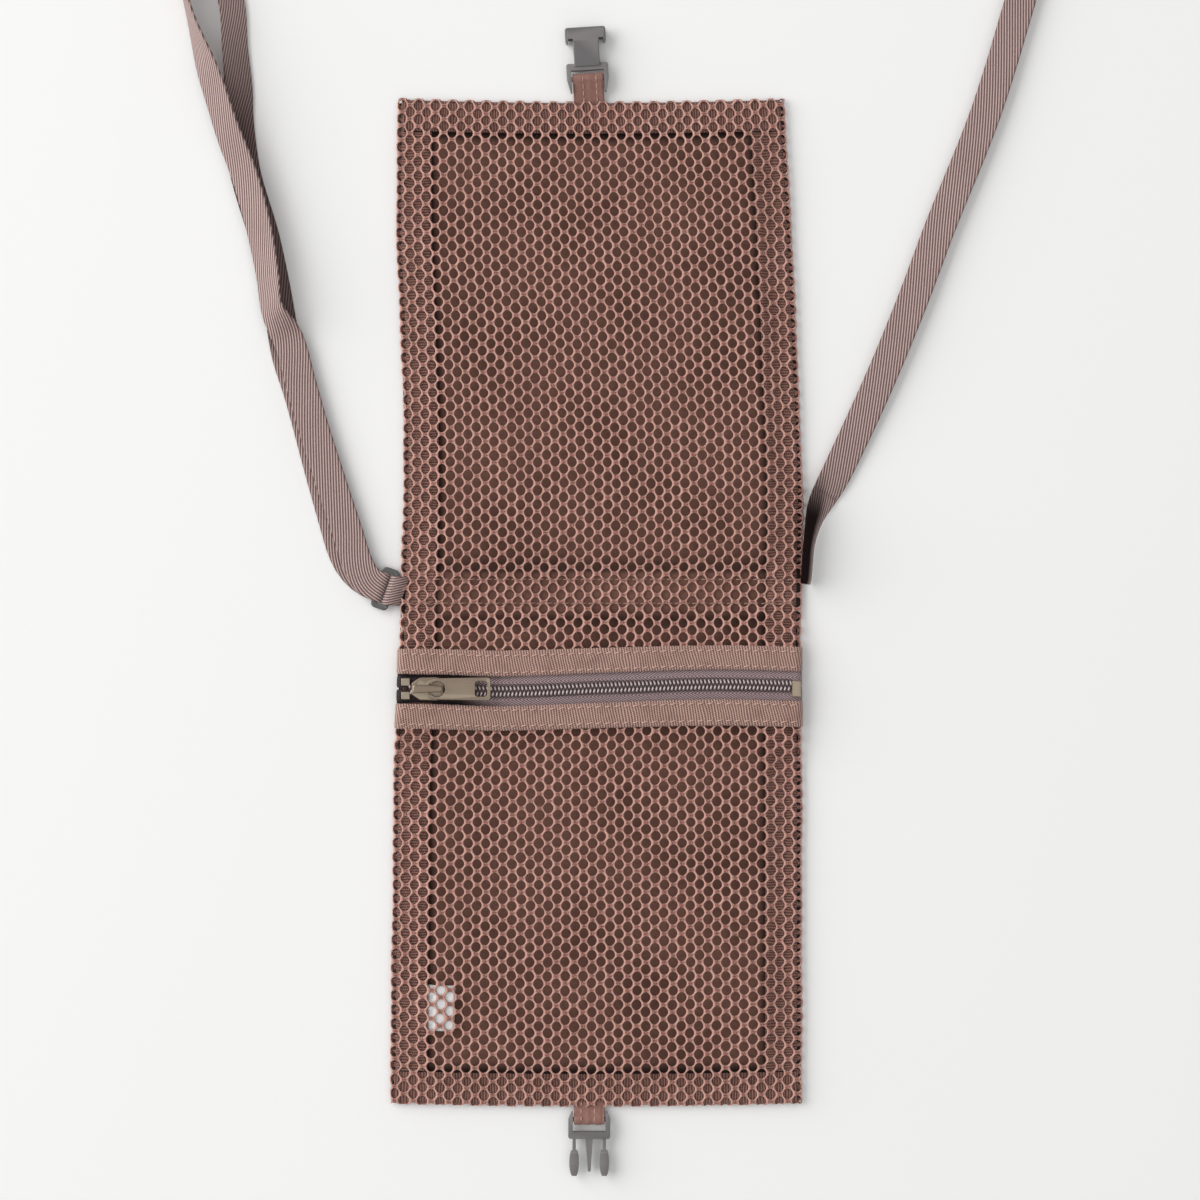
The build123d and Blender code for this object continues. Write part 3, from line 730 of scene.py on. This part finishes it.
def net_mesh(low, high, row_shift=0.0):
    """Hexagon net between two places along the pouch: each hole has a raised strand round it."""
    ring = hexagon_ring()
    far = np.linalg.norm(ring, axis=1)
    outward = ring / far[:, None]
    angle = np.arctan2(ring[:, 1], ring[:, 0])
    cells = net_cells(low, high, row_shift)
    count, corners = len(cells), len(ring)
    hole = HOLE * (1 - 0.045 * np.cos(2 * angle)) * (1 + 0.03 * rng.standard_normal((count, 1)))
    middle = cells[:, None] + 0.05 * rng.standard_normal((count, 1, 2))
    crest = hole + np.minimum(STRAND, 0.5 * (far - hole))
    rim_points = (middle + outward * hole[..., None]).reshape(-1, 2)
    crest_points = (middle + outward * crest[..., None]).reshape(-1, 2)
    edge_points = (cells[:, None] + ring).reshape(-1, 2)
    keys = np.round(edge_points, 2)
    _, first, where = np.unique(keys, axis=0, return_index=True, return_inverse=True)
    edge_points = edge_points[first]
    junction = np.tile(ease(far, 1.85, 2.3), count)[first]
    at_knot = np.tile(np.abs(np.sin(angle)) ** 6, count)
    flat = np.concatenate([rim_points, crest_points, edge_points, edge_points])
    x, y = flat.T
    flat = flat + 0.28 * np.stack([ripple(3 * x, 3 * y), ripple(2 * y, 3 * x)], -1)
    rims, edges = np.ones(count * corners), np.ones(len(first))
    lift = np.concatenate([-0.05 * rims, 0.22 * rims, 0.3 - 0.24 * junction, -0.28 * edges])
    # Low values here give the net's darker colour, which is painted shade at the hole rims and underneath.
    raised = np.concatenate([0.1 * rims, 0.85 - 0.5 * at_knot, 1.0 - 0.85 * junction, 0.1 * edges])
    points = net_surface(*flat.T) + surface_normal(net_surface, *flat.T) * lift[:, None]
    rim_index = np.arange(count * corners).reshape(count, corners)
    crest_index = rim_index + count * corners
    edge_index = where.reshape(count, corners) + 2 * count * corners
    under_index = edge_index + len(first)
    faces = []
    for inner, outer in ((rim_index, crest_index), (crest_index, edge_index), (under_index, rim_index)):
        quads = np.stack([inner, outer, np.roll(outer, -1, axis=1), np.roll(inner, -1, axis=1)], -1)
        faces += quads.reshape(-1, 4).tolist()
    return build_mesh(points, close_border(faces, edge_index, under_index), flat, raised)


def close_border(faces, edge_index, under_index):
    """Adds the outer walls of a net, where a cell has no neighbour."""
    edge_next, under_next = np.roll(edge_index, -1, axis=1), np.roll(under_index, -1, axis=1)
    sides = np.stack([edge_index, edge_next], -1).reshape(-1, 2)
    lower = np.stack([under_index, under_next], -1).reshape(-1, 2)
    seen = {tuple(pair) for pair in sides.tolist()}
    for (a, b), (c, d) in zip(sides.tolist(), lower.tolist()):
        if (b, a) not in seen:
            faces.append([a, c, d, b])
    return faces


def make_net():
    """Two nets: one from the zip up over the fold to the top end, and one below the zip."""
    hidden = 2.5  # how far the net runs on under the zip facings
    upper = net_mesh(ZIP_Y + FACING_OUT - hidden, HALF_LENGTH + NET_TURNED_IN)
    nodes = ["upper_mesh_panel", "mesh_above_zip"]
    bend_at_fold(piece("net_upper", upper, NET, stands_for=nodes))
    lower = net_mesh(-HALF_LENGTH - NET_TURNED_IN, ZIP_Y - FACING_OUT + hidden, row_shift=ROW / 4)
    piece("net_lower", lower, NET, "lower_half", ["lower_mesh_panel"])


def back_height(y):
    """Height of the back cloth, which rises over the strap bearer."""
    below = ease(y, WEB_LOW[1] - 3.5, WEB_LOW[1] - 0.3)
    above = ease(y, WEB_HIGH[1] + 0.3, WEB_HIGH[1] + 3)
    return 0.28 + (WEB + 0.15) * below * (1 - above)


def make_back_cloth():
    """Woven back through both halves, a little creased."""
    hem = HALF_WIDTH - 0.15
    u = np.linspace(-hem, hem, 70)
    v = np.linspace(-HALF_LENGTH + 1.4, HALF_LENGTH - 1.4, 260)

    def place(x, y):
        px, py = lay(x, y)
        crease = 0.12 * ripple(x * 1.7, y * 1.3) * ease(HALF_WIDTH - np.abs(x), 2, 12)
        return px, py, back_height(y) + np.maximum(crease, -0.1)

    mesh = sheet(u, v, place, 0.4)
    nodes = ("upper_back_panel", "lower_back_panel")
    bend_at_fold(piece("back_cloth", mesh, BACK_CLOTH, stands_for=nodes))


def make_bearer():
    """Webbing sewn across the back. The row of stitches near each of its edges is made with the fold's
    stitches.
    """
    u = np.linspace(WEB_LOW[1], WEB_HIGH[1], 13) - WEB_Y
    v = np.linspace(-HALF_WIDTH, HALF_WIDTH - 0.6, 150)

    def place(across, along):
        px, _ = lay(along, WEB_Y)
        return px, WEB_Y - across, 0.42

    mesh = sheet(u, v, place, WEB - 0.1, rim=0.3)
    bend_at_fold(piece("strap_bearer", mesh, WEBBING, stands_for=["spine_webbing"]))


def binding_mesh(half_length, place, flipped):
    """Grosgrain binding, ribbed across its width and fuller at its inner edge.

    place(across, along) gives its plan place and height, with across counted from the inner edge.
    A flipped one is meshed from its outer edge, so that its front still faces up.
    """
    def surface(u, along):
        across = BINDING_WIDTH - u if flipped else u
        px, py, z = place(across, along)
        return px, py, z + 0.35 * (1 - ease(across, 0, 3))

    def relief(_, along):
        return 0.12 * rib(along, BINDING_RIB)

    u = np.linspace(0, BINDING_WIDTH, 9)
    v = np.arange(-half_length, half_length, BINDING_RIB / 4)
    return sheet(u, v, surface, 0.5, relief)


def make_side_binding(name, side, nodes):
    """Binding of one side, through both halves."""
    def place(across, along):
        px, py = lay(side * (HALF_WIDTH - 1.5 - BINDING_WIDTH + across), along)
        lift = (seam_height(along) - NET_SEAM_Z) * 0.1
        over = ease(along, FOLD_LOW_Y, 0) * (1 - ease(along, FOLD_HIGH_Y, FOLD_HIGH_Y + 3))
        return px, py, 1.15 + lift + 0.25 * over

    mesh = binding_mesh(HALF_LENGTH - BINDING_WIDTH - 0.6, place, flipped=side < 0)
    bend_at_fold(piece(name, mesh, BINDING, stands_for=nodes))


def make_end_binding(name, side, body, node):
    """Binding of the top or bottom end, between the side bindings."""
    def place(across, along):
        px, py = lay(along, side * (HALF_LENGTH - 0.4 - BINDING_WIDTH + across))
        return px, py, 1.2

    mesh = binding_mesh(HALF_WIDTH - 1.2, place, flipped=side > 0)
    piece(name, mesh, BINDING, body, [node])


def make_label():
    """Blank white label caught in the left seam."""
    low, high = box_mm("care_label")
    u = np.linspace(low[0], high[0] + 1.8, 24)
    v = np.linspace(low[1], high[1], 16)
    caught_z = 0.74

    def place(x, y):
        px, py = lay(x, y)
        tilt = (y - low[1]) * 0.02
        seam = BINDING_WIDTH - HALF_WIDTH + 1.5
        free = ease(x, seam - 0.2, seam + 3)
        under_net = front_height(x, y) - 0.7 + 0.05 * np.sin(y / 2.3)
        return px + tilt, py, caught_z + free * (under_net - caught_z)

    mesh = sheet(u, v, place, 0.2)
    piece("care_label_blank", mesh, LABEL, "lower_half", ["care_label"])


# Zip


def zip_strip(low, high, height, wave_low=1.0, wave_high=1.0):
    """Place function of a strip along the zip, rolled down round both side edges.

    The waves say how far its lower and upper edges follow the zip's own waving.
    """
    radius = (height - NET_UNDER_Z) / 2

    def place(across, along):
        x, drop = roll(along, ROLL_HALF, radius)
        share = (across - low) / (high - low)
        wave = zip_wave(x) * (wave_low + (wave_high - wave_low) * share)
        px, py = lay(x, ZIP_Y + across + wave)
        return px, py, height - drop

    return place


def make_facing(name, side, node):
    """Grosgrain facing beside the zip window, ribbed across and dented by its two stitch rows."""
    low, high = sorted((side * WINDOW_HALF, side * (FACING_OUT + 0.3)))
    reach = HALF_WIDTH + 3.6
    v = np.arange(-reach, reach, FACING_RIB / 4)
    u = np.linspace(low, high, 15)
    waves = (1.0, 0.75) if side > 0 else (0.75, 1.0)
    base = zip_strip(low, high, FACING_Z, *waves)

    def place(across, along):
        px, py, z = base(across, along)
        fray = 0.05 * np.sin(along * 1.9) * np.sin(along * 0.37)
        sunk = 0.25 * ease(np.abs(across), FACING_OUT - 3, FACING_OUT)
        return px, py + fray, z - sunk + 0.08 * ripple(along * 2, 3)

    def relief(across, along):
        dent = sum(np.exp(-(((np.abs(across) - row) / 0.45) ** 2)) for row in FACING_ROWS)
        pull = rib(along + HALF_WIDTH - 1, STITCH_PITCH) ** 6
        return 0.13 * rib(along, FACING_RIB) - dent * (0.08 + 0.3 * pull)

    mesh = sheet(u, v, place, 0.6, relief)
    mesh.flip_normals()
    piece(name, mesh, FACING, "lower_half", [node])


def make_zip_tape(name, side, node):
    """Herringbone tape between the coil and a facing. Its outer part falls away on the left."""
    low, high = sorted((side * 0.1, side * (WINDOW_HALF + 4.5)))
    base = zip_strip(low, high, TAPE_Z)
    u = np.linspace(low, high, 12)
    reach = HALF_WIDTH + 3.0
    v = np.linspace(-reach, reach, 180)

    def place(across, along):
        px, py, z = base(across, along)
        apart = side * 0.25 * ease(-along, 58.5, 62)
        flat = 0.35 * ease(np.abs(across), 2.6, WINDOW_HALF)
        fallen = 2.6 * ease(np.abs(across), 2.9, 4.4) * (1 - ease(along, -48, -22))
        return px, py + apart, np.maximum(z - flat - fallen, 1.5)

    mesh = sheet(u, v, place, 0.35, rim=0.3)
    mesh.flip_normals()
    piece(name, mesh, HERRINGBONE, "lower_half", [node])


def make_coil(name, side, node):
    """A row of coil turns: each turn loops from the tape over to the zip's middle and back."""
    margin = 0.4
    first = COIL_LEFT + margin + (0.5 * COIL_PITCH if side < 0 else 0)
    across = np.array([2.1, 1.95, 1.6, 1.1, 0.6, 0.1, -0.35, -0.4, 0.2, 1.1, 1.9])
    rise = np.array([0.0, 0.5, 0.88, 1.0, 0.92, 0.7, 0.5, 0.3, 0.15, 0.1, 0.05])
    drift = np.array([-0.14, -0.12, -0.06, 0.06, 0.18, 0.26, 0.34, 0.44, 0.5, 0.52, 0.54])
    radii = np.array([0.24, 0.28, 0.3, 0.31, 0.32, 0.34, 0.34, 0.28, 0.24, 0.22, 0.2])
    height = COIL_TOP_Z - COIL_LOW_Z - 0.55
    paths = []
    for start in np.arange(first, COIL_RIGHT - margin, COIL_PITCH):
        x = start + drift * COIL_PITCH
        px, py = lay(x, ZIP_Y + side * across + zip_wave(x))
        paths.append(np.stack([px, py, COIL_LOW_Z + 0.28 + height * rise], -1))
    piece(name, tubes(paths, radii, sides=8), COIL, "lower_half", [node])


# Stitches


def seam_across(y, height):
    """Surface of a seam across the pouch at a place along it."""
    def surface(at, aside):
        return np.stack(np.broadcast_arrays(*lay(at, y + aside), height), -1)

    return surface


def seam_along(x):
    """Surface of a seam along the pouch's back at a place across it."""
    def surface(at, aside):
        return np.stack(np.broadcast_arrays(*lay(x + aside, at), back_height(at) - 0.2), -1)

    return surface


def seam_on_zip(offset, height, waves):
    """Surface of a seam along the zip, which follows its waving by the share given as waves."""
    radius = (height - NET_UNDER_Z) / 2

    def surface(at, aside):
        x, drop = roll(at, ROLL_HALF, radius)
        px, py = lay(x, ZIP_Y + offset + aside + zip_wave(x) * waves)
        return np.stack([px, py, height - drop], -1)

    return surface


def make_zip_threads():
    """The facings' stitch rows, and the fine thread that sews the coil to its tapes."""
    reach = HALF_WIDTH - 1
    facing_rows, coil_rows = [], []
    for side in (1, -1):
        for row, top, waves in zip(FACING_ROWS, (FACING_Z + 0.33, FACING_Z + 0.21), (1.0, 0.8)):
            facing_rows.append((seam_on_zip(side * row, top, waves), -reach, reach, STITCH_PITCH, 0.5))
        seam = seam_on_zip(side * 1.5, COIL_TOP_Z - 0.12, 1.0)
        coil_rows.append((seam, COIL_LEFT + 1, COIL_RIGHT - 1, COIL_PITCH, 0.3))
    mesh = stitches(facing_rows, radius=0.19)
    piece("facing_stitches", mesh, PALE_THREAD, "lower_half")
    mesh = stitches(coil_rows, radius=0.1)
    piece("coil_stitches", mesh, HERRINGBONE, "lower_half")


def make_fold_stitches():
    """Stitches through net, back cloth and bearer along the fold, on the front and on the back."""
    reach = HALF_WIDTH - 2
    for name, height in (("fold_stitches_front", NET_SEAM_Z + 0.42), ("fold_stitches_back", -0.02)):
        lines = (WEB_Y - SEAM_FROM_BEARER, WEB_Y + SEAM_FROM_BEARER)
        rows = [(seam_across(y, height), -reach, reach, SEAM_PITCH, 0.2) for y in lines]
        bend_at_fold(piece(name, stitches(rows), SEAM_THREAD))


def make_hem_stitches():
    """Two rows of stitches round the back that hold the bindings."""
    inner, outer = BINDING_WIDTH - 0.4, 2.6
    rows = []
    for side in (-1, 1):
        for in_from_edge in (inner, outer):
            seam = seam_along(side * (HALF_WIDTH - in_from_edge))
            rows.append((seam, -HALF_LENGTH + 3, WEB_LOW[1] - 4, SEAM_PITCH, 0.0))
            rows.append((seam, WEB_HIGH[1] + 4, HALF_LENGTH - 3, SEAM_PITCH, 0.0))
        for in_from_end in (inner + 1.3, outer):
            seam = seam_across(side * (HALF_LENGTH - in_from_end), 0.08)
            rows.append((seam, -HALF_WIDTH + 3, HALF_WIDTH - 3, SEAM_PITCH, 0.0))
    mesh = stitches(rows, radius=0.16)
    bend_at_fold(piece("hem_stitches", mesh, SEAM_THREAD))


# Neck strap

ring_low, ring_high = box_mm("strap_ring")
RING_CENTRE = (ring_low + ring_high) / 2
RING_OUT = turned((1, 0), 160)  # from the pouch through the ring to the strap
RING_BAR_AT = 2.1  # from the ring's middle to the middle of each long bar
WRAP = (ring_high[2] - ring_low[2]) / 2 + 0.1 + WEB / 2  # radius of the strap round a bar
WRAP_ANGLES = range(270, 89, -15)  # from under the bar round its outer side to above it
UPPER_Z, LOWER_Z = RING_CENTRE[2] + WRAP, RING_CENTRE[2] - WRAP
ADJUSTER_CENTRE = middle_mm("adjuster")
slide_joint = next(joint for joint in frame["joints"] if joint["name"] == "adjuster_slide")
LEG_AXIS = np.array(slide_joint["axis"], float)  # up the left leg
LEG_RIGHT = turned(LEG_AXIS, -90)
ADJUSTER_AT = 240.0  # up the left leg; the tables below count from the same foot

# Left leg: (distance up the leg, how far right of a straight line the strap lies)
FRONT_WANDER = [(8, 0.9), (30, 0.1), (48, -0.3), (60, -0.2), (76, -0.25), (85, -2.2), (96, -0.6)]
FRONT_WANDER += [(111, 0.9), (130, 1.2), (145, 0.0), (160, -0.4), (182, -1.2), (200, -0.6)]
FRONT_WANDER += [(225, 0.0), (256, 0.0)]
RETURN_WANDER = [(8, -2.6), (30, -2.4), (59, -1.9), (70, -2.2), (80, -1.2), (92, 0.1), (108, 1.3)]
RETURN_WANDER += [(134, 1.6), (149, 4.3), (157, 6.8), (171, 9.8), (186, 12.8), (200, 11.8)]
RETURN_WANDER += [(218, 5.0), (234, 0.2)]
# Left leg: (distance up the leg, degrees on its left edge, or on its right edge if below 0)
FRONT_TILT = [(76, 0), (84, 38), (96, 38), (111, 31), (135, 29), (151, 36), (166, 42), (174, 57)]
FRONT_TILT += [(182, 70), (190, 76), (200, 70), (212, 35), (224, 0), (256, 0)]
RETURN_TILT = [(140, 0), (156, -28), (166, -38), (186, -38), (205, -28), (222, 0), (234, 0)]
# Right leg: where it runs, and (place along the pouch, degrees on its edge)
RIGHT_LEG = [(138.5, 202.0), (125.0, 158.1), (110.1, 120.8), (101.6, 98.1), (89.9, 69.8)]
RIGHT_LEG += [(76.9, 41.9), (69.7, 27.6), (67.8, 19.0), (67.0, 10.0), (66.6, 5.8)]
RIGHT_TILT = [(5, 68), (12, 67), (21, 64), (27, 52), (33, 32), (40, 14), (52, 4), (80, 0), (205, 0)]
RIGHT_FOOT_Z = 0.55  # middle of the strap's thickness where it would lie flat at its sewn foot
SPLIT_Y = 34.0  # below this the right leg is a piece of its own, which bends at its sewn end


def leg_point(along, right, z):
    """A point by its distance up the left leg and to its right."""
    point = ADJUSTER_CENTRE + LEG_AXIS * (along - ADJUSTER_AT) + LEG_RIGHT * right
    return np.array([point[0], point[1], z])


def plan_sides(path):
    """Unit directions across a flat path, to its right."""
    tangent = np.gradient(path, axis=0)
    return unit(np.stack([tangent[:, 1], -tangent[:, 0], 0 * tangent[:, 0]], -1))


def tilt_on_leg(path, side, tilts):
    """Stands a flat strap up on one of its edges along the left leg, lower down where it is steep."""
    along = (path - ADJUSTER_CENTRE) @ LEG_AXIS + ADJUSTER_AT
    tilt = np.radians(smooth_through(tilts, along)) * (path[:, 0] < 0)
    steep = ease(np.abs(tilt), radians(35), radians(75))
    path[:, 2] = path[:, 2] * (1 - steep) + WEB / 2 * steep + WEB_WIDTH / 2 * np.abs(np.sin(tilt))
    leaning = side * np.cos(tilt)[:, None]
    leaning[:, 2] = np.sin(tilt)
    return path, leaning


def ring_bar(outward, angle, radius):
    """A point round a long bar of the ring. 90 degrees is above it, and 180 on its inner side."""
    fullness = 1.28 if 90 < angle < 270 else 1.0
    reach = RING_BAR_AT + fullness * radius * cos(radians(angle))
    flat = RING_CENTRE + outward * reach
    return np.array([flat[0], flat[1], RING_CENTRE[2] + radius * sin(radians(angle))])


def left_leg(wander, z, swell):
    """One strand of the strap: its bend away from the ring, and the rest of the left leg.

    swell pushes the bend outwards.
    """
    (foot, foot_right), *rest = wander
    start = RING_CENTRE + RING_OUT * 3.1
    start[2] = z
    end = leg_point(foot, foot_right, z)
    bend = cubic(shares(14), start, RING_OUT * 16 * swell, end, LEG_AXIS * 20 * swell)
    leg = [leg_point(along, right, z) for along, right in rest]
    return bend, through([end, *leg], 2.0)


def strap_path():
    """The strap from the ring's bar up the left leg, round the neck and to the right leg's top."""
    wrap = np.array([ring_bar(RING_OUT, angle, WRAP) for angle in WRAP_ANGLES])
    bend, leg = left_leg(FRONT_WANDER, UPPER_Z, 1.0)
    top = np.array([0.0, box_mm("strap_main")[1][1] - WEB_WIDTH / 2, UPPER_Z])
    right_top = np.array([*RIGHT_LEG[0], UPPER_Z])
    left_chord, right_chord = np.linalg.norm(top - leg[-1]), np.linalg.norm(top - right_top)
    to_right, down_right = np.array([1, 0, 0]), turned((1, 0), 253)
    left_loop = cubic(shares(60), leg[-1], LEG_AXIS * left_chord, top, to_right * left_chord)
    top_slope, right_slope = to_right * right_chord * 1.3, down_right * right_chord * 1.9
    right_loop = cubic(shares(60), top, top_slope, right_top, right_slope)
    return np.concatenate([wrap, bend[:-1], leg[:-1], left_loop[:-1], right_loop[:-1]])


def right_leg_path():
    """The right leg down to its sewn foot, where it stands on edge beside the pouch."""
    path = through([(x, y, 0) for x, y in RIGHT_LEG], 1.5)
    tilt = np.radians(smooth_through(RIGHT_TILT, path[:, 1]))
    side = plan_sides(path) * np.cos(tilt)[:, None]
    side[:, 2] = np.sin(tilt)
    lying = ease(path[:, 1], 20, 90)
    middle_z = UPPER_Z * lying + RIGHT_FOOT_Z * (1 - lying)
    path[:, 2] = middle_z + (WEB_WIDTH / 2 - 0.3) * np.sin(tilt)
    return path, side


def make_strap():
    """The neck strap. The lowest part of its right leg is a piece of its own, bent at its sewn end."""
    path = strap_path()
    side = plan_sides(path)
    side[:len(WRAP_ANGLES)] = turned(RING_OUT, -90)
    path, side = tilt_on_leg(path, side, FRONT_TILT)
    right, right_side = right_leg_path()
    upper = right[:, 1] >= SPLIT_Y
    path = np.concatenate([path, right[upper]])
    side = np.concatenate([side, right_side[upper]])
    far = along_path(path)
    # The stretch at the right leg's sewn end that gets painted shade.
    foot = (far[-1] - 8, far[-1] + 9)
    webbing = twill_material("strap_twill_loop", mirror_at=far[np.argmax(path[:, 1])], foot=foot)
    mesh = ribbon(path, smooth_sides(side), WEB_WIDTH, WEB)
    piece("strap_webbing", mesh, webbing, "neck_strap", ["strap_main"])
    start = np.argmin(upper) - 1
    mesh = ribbon(right[start:], right_side[start:], WEB_WIDTH, WEB, begin=far[-1])
    end_piece = piece("strap_right_end", mesh, webbing)
    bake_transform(end_piece)


def smooth_sides(side):
    """Evens out the directions across a ribbon so that it turns without kinks."""
    for _ in range(2):
        side[1:-1] = (side[:-2] + 2 * side[1:-1] + side[2:]) / 4
    return unit(side)


def make_strap_return():
    """The strand from the ring back to the adjuster, which lies under the front one."""
    bend, leg = left_leg(RETURN_WANDER, LOWER_Z, 1.25)
    bend[0] += RING_OUT * 0.2
    path = np.concatenate([bend[:-1], leg])
    anchor = path[0] * MM
    path, side = tilt_on_leg(path, plan_sides(path), RETURN_TILT)
    # This strand gets painted shade where the front strand lies over it.
    webbing = twill_material("strap_twill_return", shade_beneath=(90, 155))
    mesh = ribbon(path, side, WEB_WIDTH, WEB - 0.05)
    obj = piece("strap_return_webbing", mesh, webbing, "neck_strap", ["strap_return"])
    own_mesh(obj)


def make_adjuster_loop():
    """The strap's end, turned round the adjuster's middle bar and sewn to itself."""
    radius = 0.74
    tail = [(-3.4, -0.55), (-2.0, -0.6), (-0.6, -0.72)]
    turn = [(radius * cos(radians(a)), radius * sin(radians(a))) for a in range(-80, 81, 20)]
    back = [(along, -up) for along, up in tail[::-1]]
    outline = np.array(tail + turn + back)
    path = ADJUSTER_CENTRE + LEG_AXIS * outline[:, :1]
    path[:, 2] = middle_mm("adjuster_loop")[2] + outline[:, 1]
    mesh = ribbon(path, LEG_RIGHT, WEB_WIDTH - 0.3, 0.42)
    piece("adjuster_loop_webbing", mesh, WEBBING, "strap_adjuster", ["adjuster_loop"])


def make_ring_tab():
    """Short loop of webbing from the side seam round the ring's inner bar."""
    root = np.array([-HALF_WIDTH + 1.5, WEB_Y, 0])
    loop = [ring_bar(-RING_OUT, angle, WRAP - 0.1) for angle in range(90, 271, 20)]
    path = np.array([root + (0, 0, UPPER_Z - 0.9), *loop, root + (0, 0, 0.9)])
    mesh = ribbon(path, turned(RING_OUT, 90), WEB_WIDTH, 0.6)
    obj = piece("ring_tab_webbing", mesh, WEBBING, stands_for=["ring_tab"])
    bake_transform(obj)


# Buckle tabs


def make_tab(name, node, bar_distance, side, lean):
    """Cloth tab from an end seam round a buckle's bar and back, with two rows of stitches."""
    foot = middle_mm(node)
    foot[:2] = (middle_mm("plug_base")[0], side * HALF_LENGTH)
    outward = turned((0, side), lean)
    across = turned(outward, -90)
    radius, fullness = 1.15, 1.35  # of the loop round the bar
    hem = 1.0 if side < 0 else 0.3
    upper = [(-3.0, -1.3), (hem + 0.2, -1.2), (hem + 1.2, -0.6), (bar_distance - 1.9, 0.3)]
    angles = np.radians(range(120, -121, -20))
    turn = [(bar_distance + fullness * radius * cos(a), radius * sin(a)) for a in angles]
    lower = [(bar_distance - 1.9, -0.3), (hem + 1.2, -1.1), (hem + 0.2, -1.7), (-3.0, -1.8)]
    outline = np.array(upper + turn + lower)
    path = foot + outward * outline[:, :1]
    path[:, 2] += outline[:, 1]
    front = outline[:len(upper) + 4]

    def relief(u, v):
        pleats = 0.13 * np.sin(2.0 * u + 0.7) * (0.7 + 0.3 * np.sin(0.9 * v))
        return pleats + 0.06 * np.sin(4.7 * u)

    def row(offset):
        def surface(at, _):
            flat = foot + outward * at[:, None] + across * offset
            flat[:, 2] += np.interp(at, *front.T) + 0.26
            return flat

        return (surface, -0.8, bar_distance + 0.8, 2.2, 0.0)

    mesh = ribbon(path, across, 9.9, 0.48, 33, relief)
    tab = piece(name, mesh, TAB_CLOTH, stands_for=[node])
    mesh = stitches([row(-1.7), row(2.6)], 0.15)
    thread = piece(name + "_stitches", mesh, PALE_THREAD)
    for obj in (tab, thread):
        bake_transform(obj)


# CAD nodes that keep their shape


def dress(nodes, material, bevel):
    """Gives CAD nodes a material and eased edges."""
    for node in nodes:
        obj = frame["nodes"][node]
        obj.data.materials.clear()
        obj.data.materials.append(material)
        obj.data.polygons.foreach_set("use_smooth", np.ones(len(obj.data.polygons), bool))
        weld = obj.modifiers.new("weld", "WELD")
        weld.merge_threshold = 0.00001
        rounding = obj.modifiers.new("eased_edges", "BEVEL")
        rounding.width = bevel * MM
        rounding.segments = 2
        rounding.limit_method = "ANGLE"
        rounding.angle_limit = radians(35)
        rounding.harden_normals = True


# Stage


def make_floor():
    """Wide plain floor, a little below the pouch."""
    half, z = 15.0, -0.35 * MM
    corners = [(-half, -half, z), (half, -half, z), (half, half, z), (-half, half, z)]
    mesh = bpy.data.meshes.new("floor")
    mesh.from_pydata(corners, [], [(0, 1, 2, 3)])
    mesh.materials.append(floor_material())
    floor = bpy.data.objects.new("floor", mesh)
    bpy.context.scene.collection.objects.link(floor)


def area_light(name, place, size, power, colour):
    data = bpy.data.lights.new(name, "AREA")
    data.shape = "SQUARE"
    data.size = size
    data.energy = power
    data.color = colour
    light = bpy.data.objects.new(name, data)
    light.location = place
    light.rotation_mode = "QUATERNION"
    light.rotation_quaternion = (-light.location).to_track_quat("-Z", "Y")
    bpy.context.scene.collection.objects.link(light)


def make_lights():
    """A broad key light from the upper left, a weak fill from above and an even white surround."""
    area_light("key", (-2.5, 1.0, 1.5), 3.6, 119.0, (1.0, 0.995, 0.985))
    area_light("fill", (0.6, -0.4, 2.6), 2.4, 11.0, (0.98, 0.99, 1.0))
    world = bpy.data.worlds.new("studio")
    world.use_nodes = True
    background = world.node_tree.nodes["Background"]
    background.inputs["Color"].default_value = (1, 1, 1, 1)
    background.inputs["Strength"].default_value = 0.43
    bpy.context.scene.world = world


def make_camera():
    """Straight down on the pouch with a long lens, over a square of floor about 390 mm wide."""
    field, lens, sensor = 0.3896, 85.0, 36.0
    floor_to_pouch = 0.003
    data = bpy.data.cameras.new("camera")
    data.lens = lens
    data.sensor_width = sensor
    camera = bpy.data.objects.new("camera", data)
    camera.location = (0, 0.00065, field * lens / sensor + floor_to_pouch)
    bpy.context.scene.collection.objects.link(camera)
    bpy.context.scene.camera = camera
    bpy.context.scene.view_settings.view_transform = "Standard"


make_net()
make_back_cloth()
make_bearer()
make_side_binding("binding_left", -1, ["binding_upper_left", "binding_lower_left"])
make_side_binding("binding_right", 1, ["binding_upper_right", "binding_lower_right"])
make_end_binding("binding_top_end", 1, "upper_half", "binding_top")
make_end_binding("binding_bottom_end", -1, "lower_half", "binding_bottom")
make_label()
for where, side in (("upper", 1), ("lower", -1)):
    make_facing("facing_" + where, side, "zip_facing_" + where)
    make_zip_tape("zip_cloth_" + where, side, "zip_tape_" + where)
    make_coil("zip_turns_" + where, side, "zip_coil_" + where)
make_zip_threads()
make_fold_stitches()
make_hem_stitches()
make_strap()
make_strap_return()
make_adjuster_loop()
make_ring_tab()
make_tab("socket_tab_cloth", "socket_tab", 7.0, 1, 3.5)
make_tab("plug_tab_cloth", "plug_tab", 5.0, -1, 0.0)
dress(["slider_body", "pull_tab", "zip_top_stops", "zip_bottom_stop"], METAL, 0.2)
dress(["buckle_socket", "plug_base", "plug_arm_left", "plug_arm_right"], BUCKLE_PLASTIC, 0.28)
dress(["strap_ring", "adjuster"], RING_PLASTIC, 0.15)
make_floor()
make_lights()
make_camera()
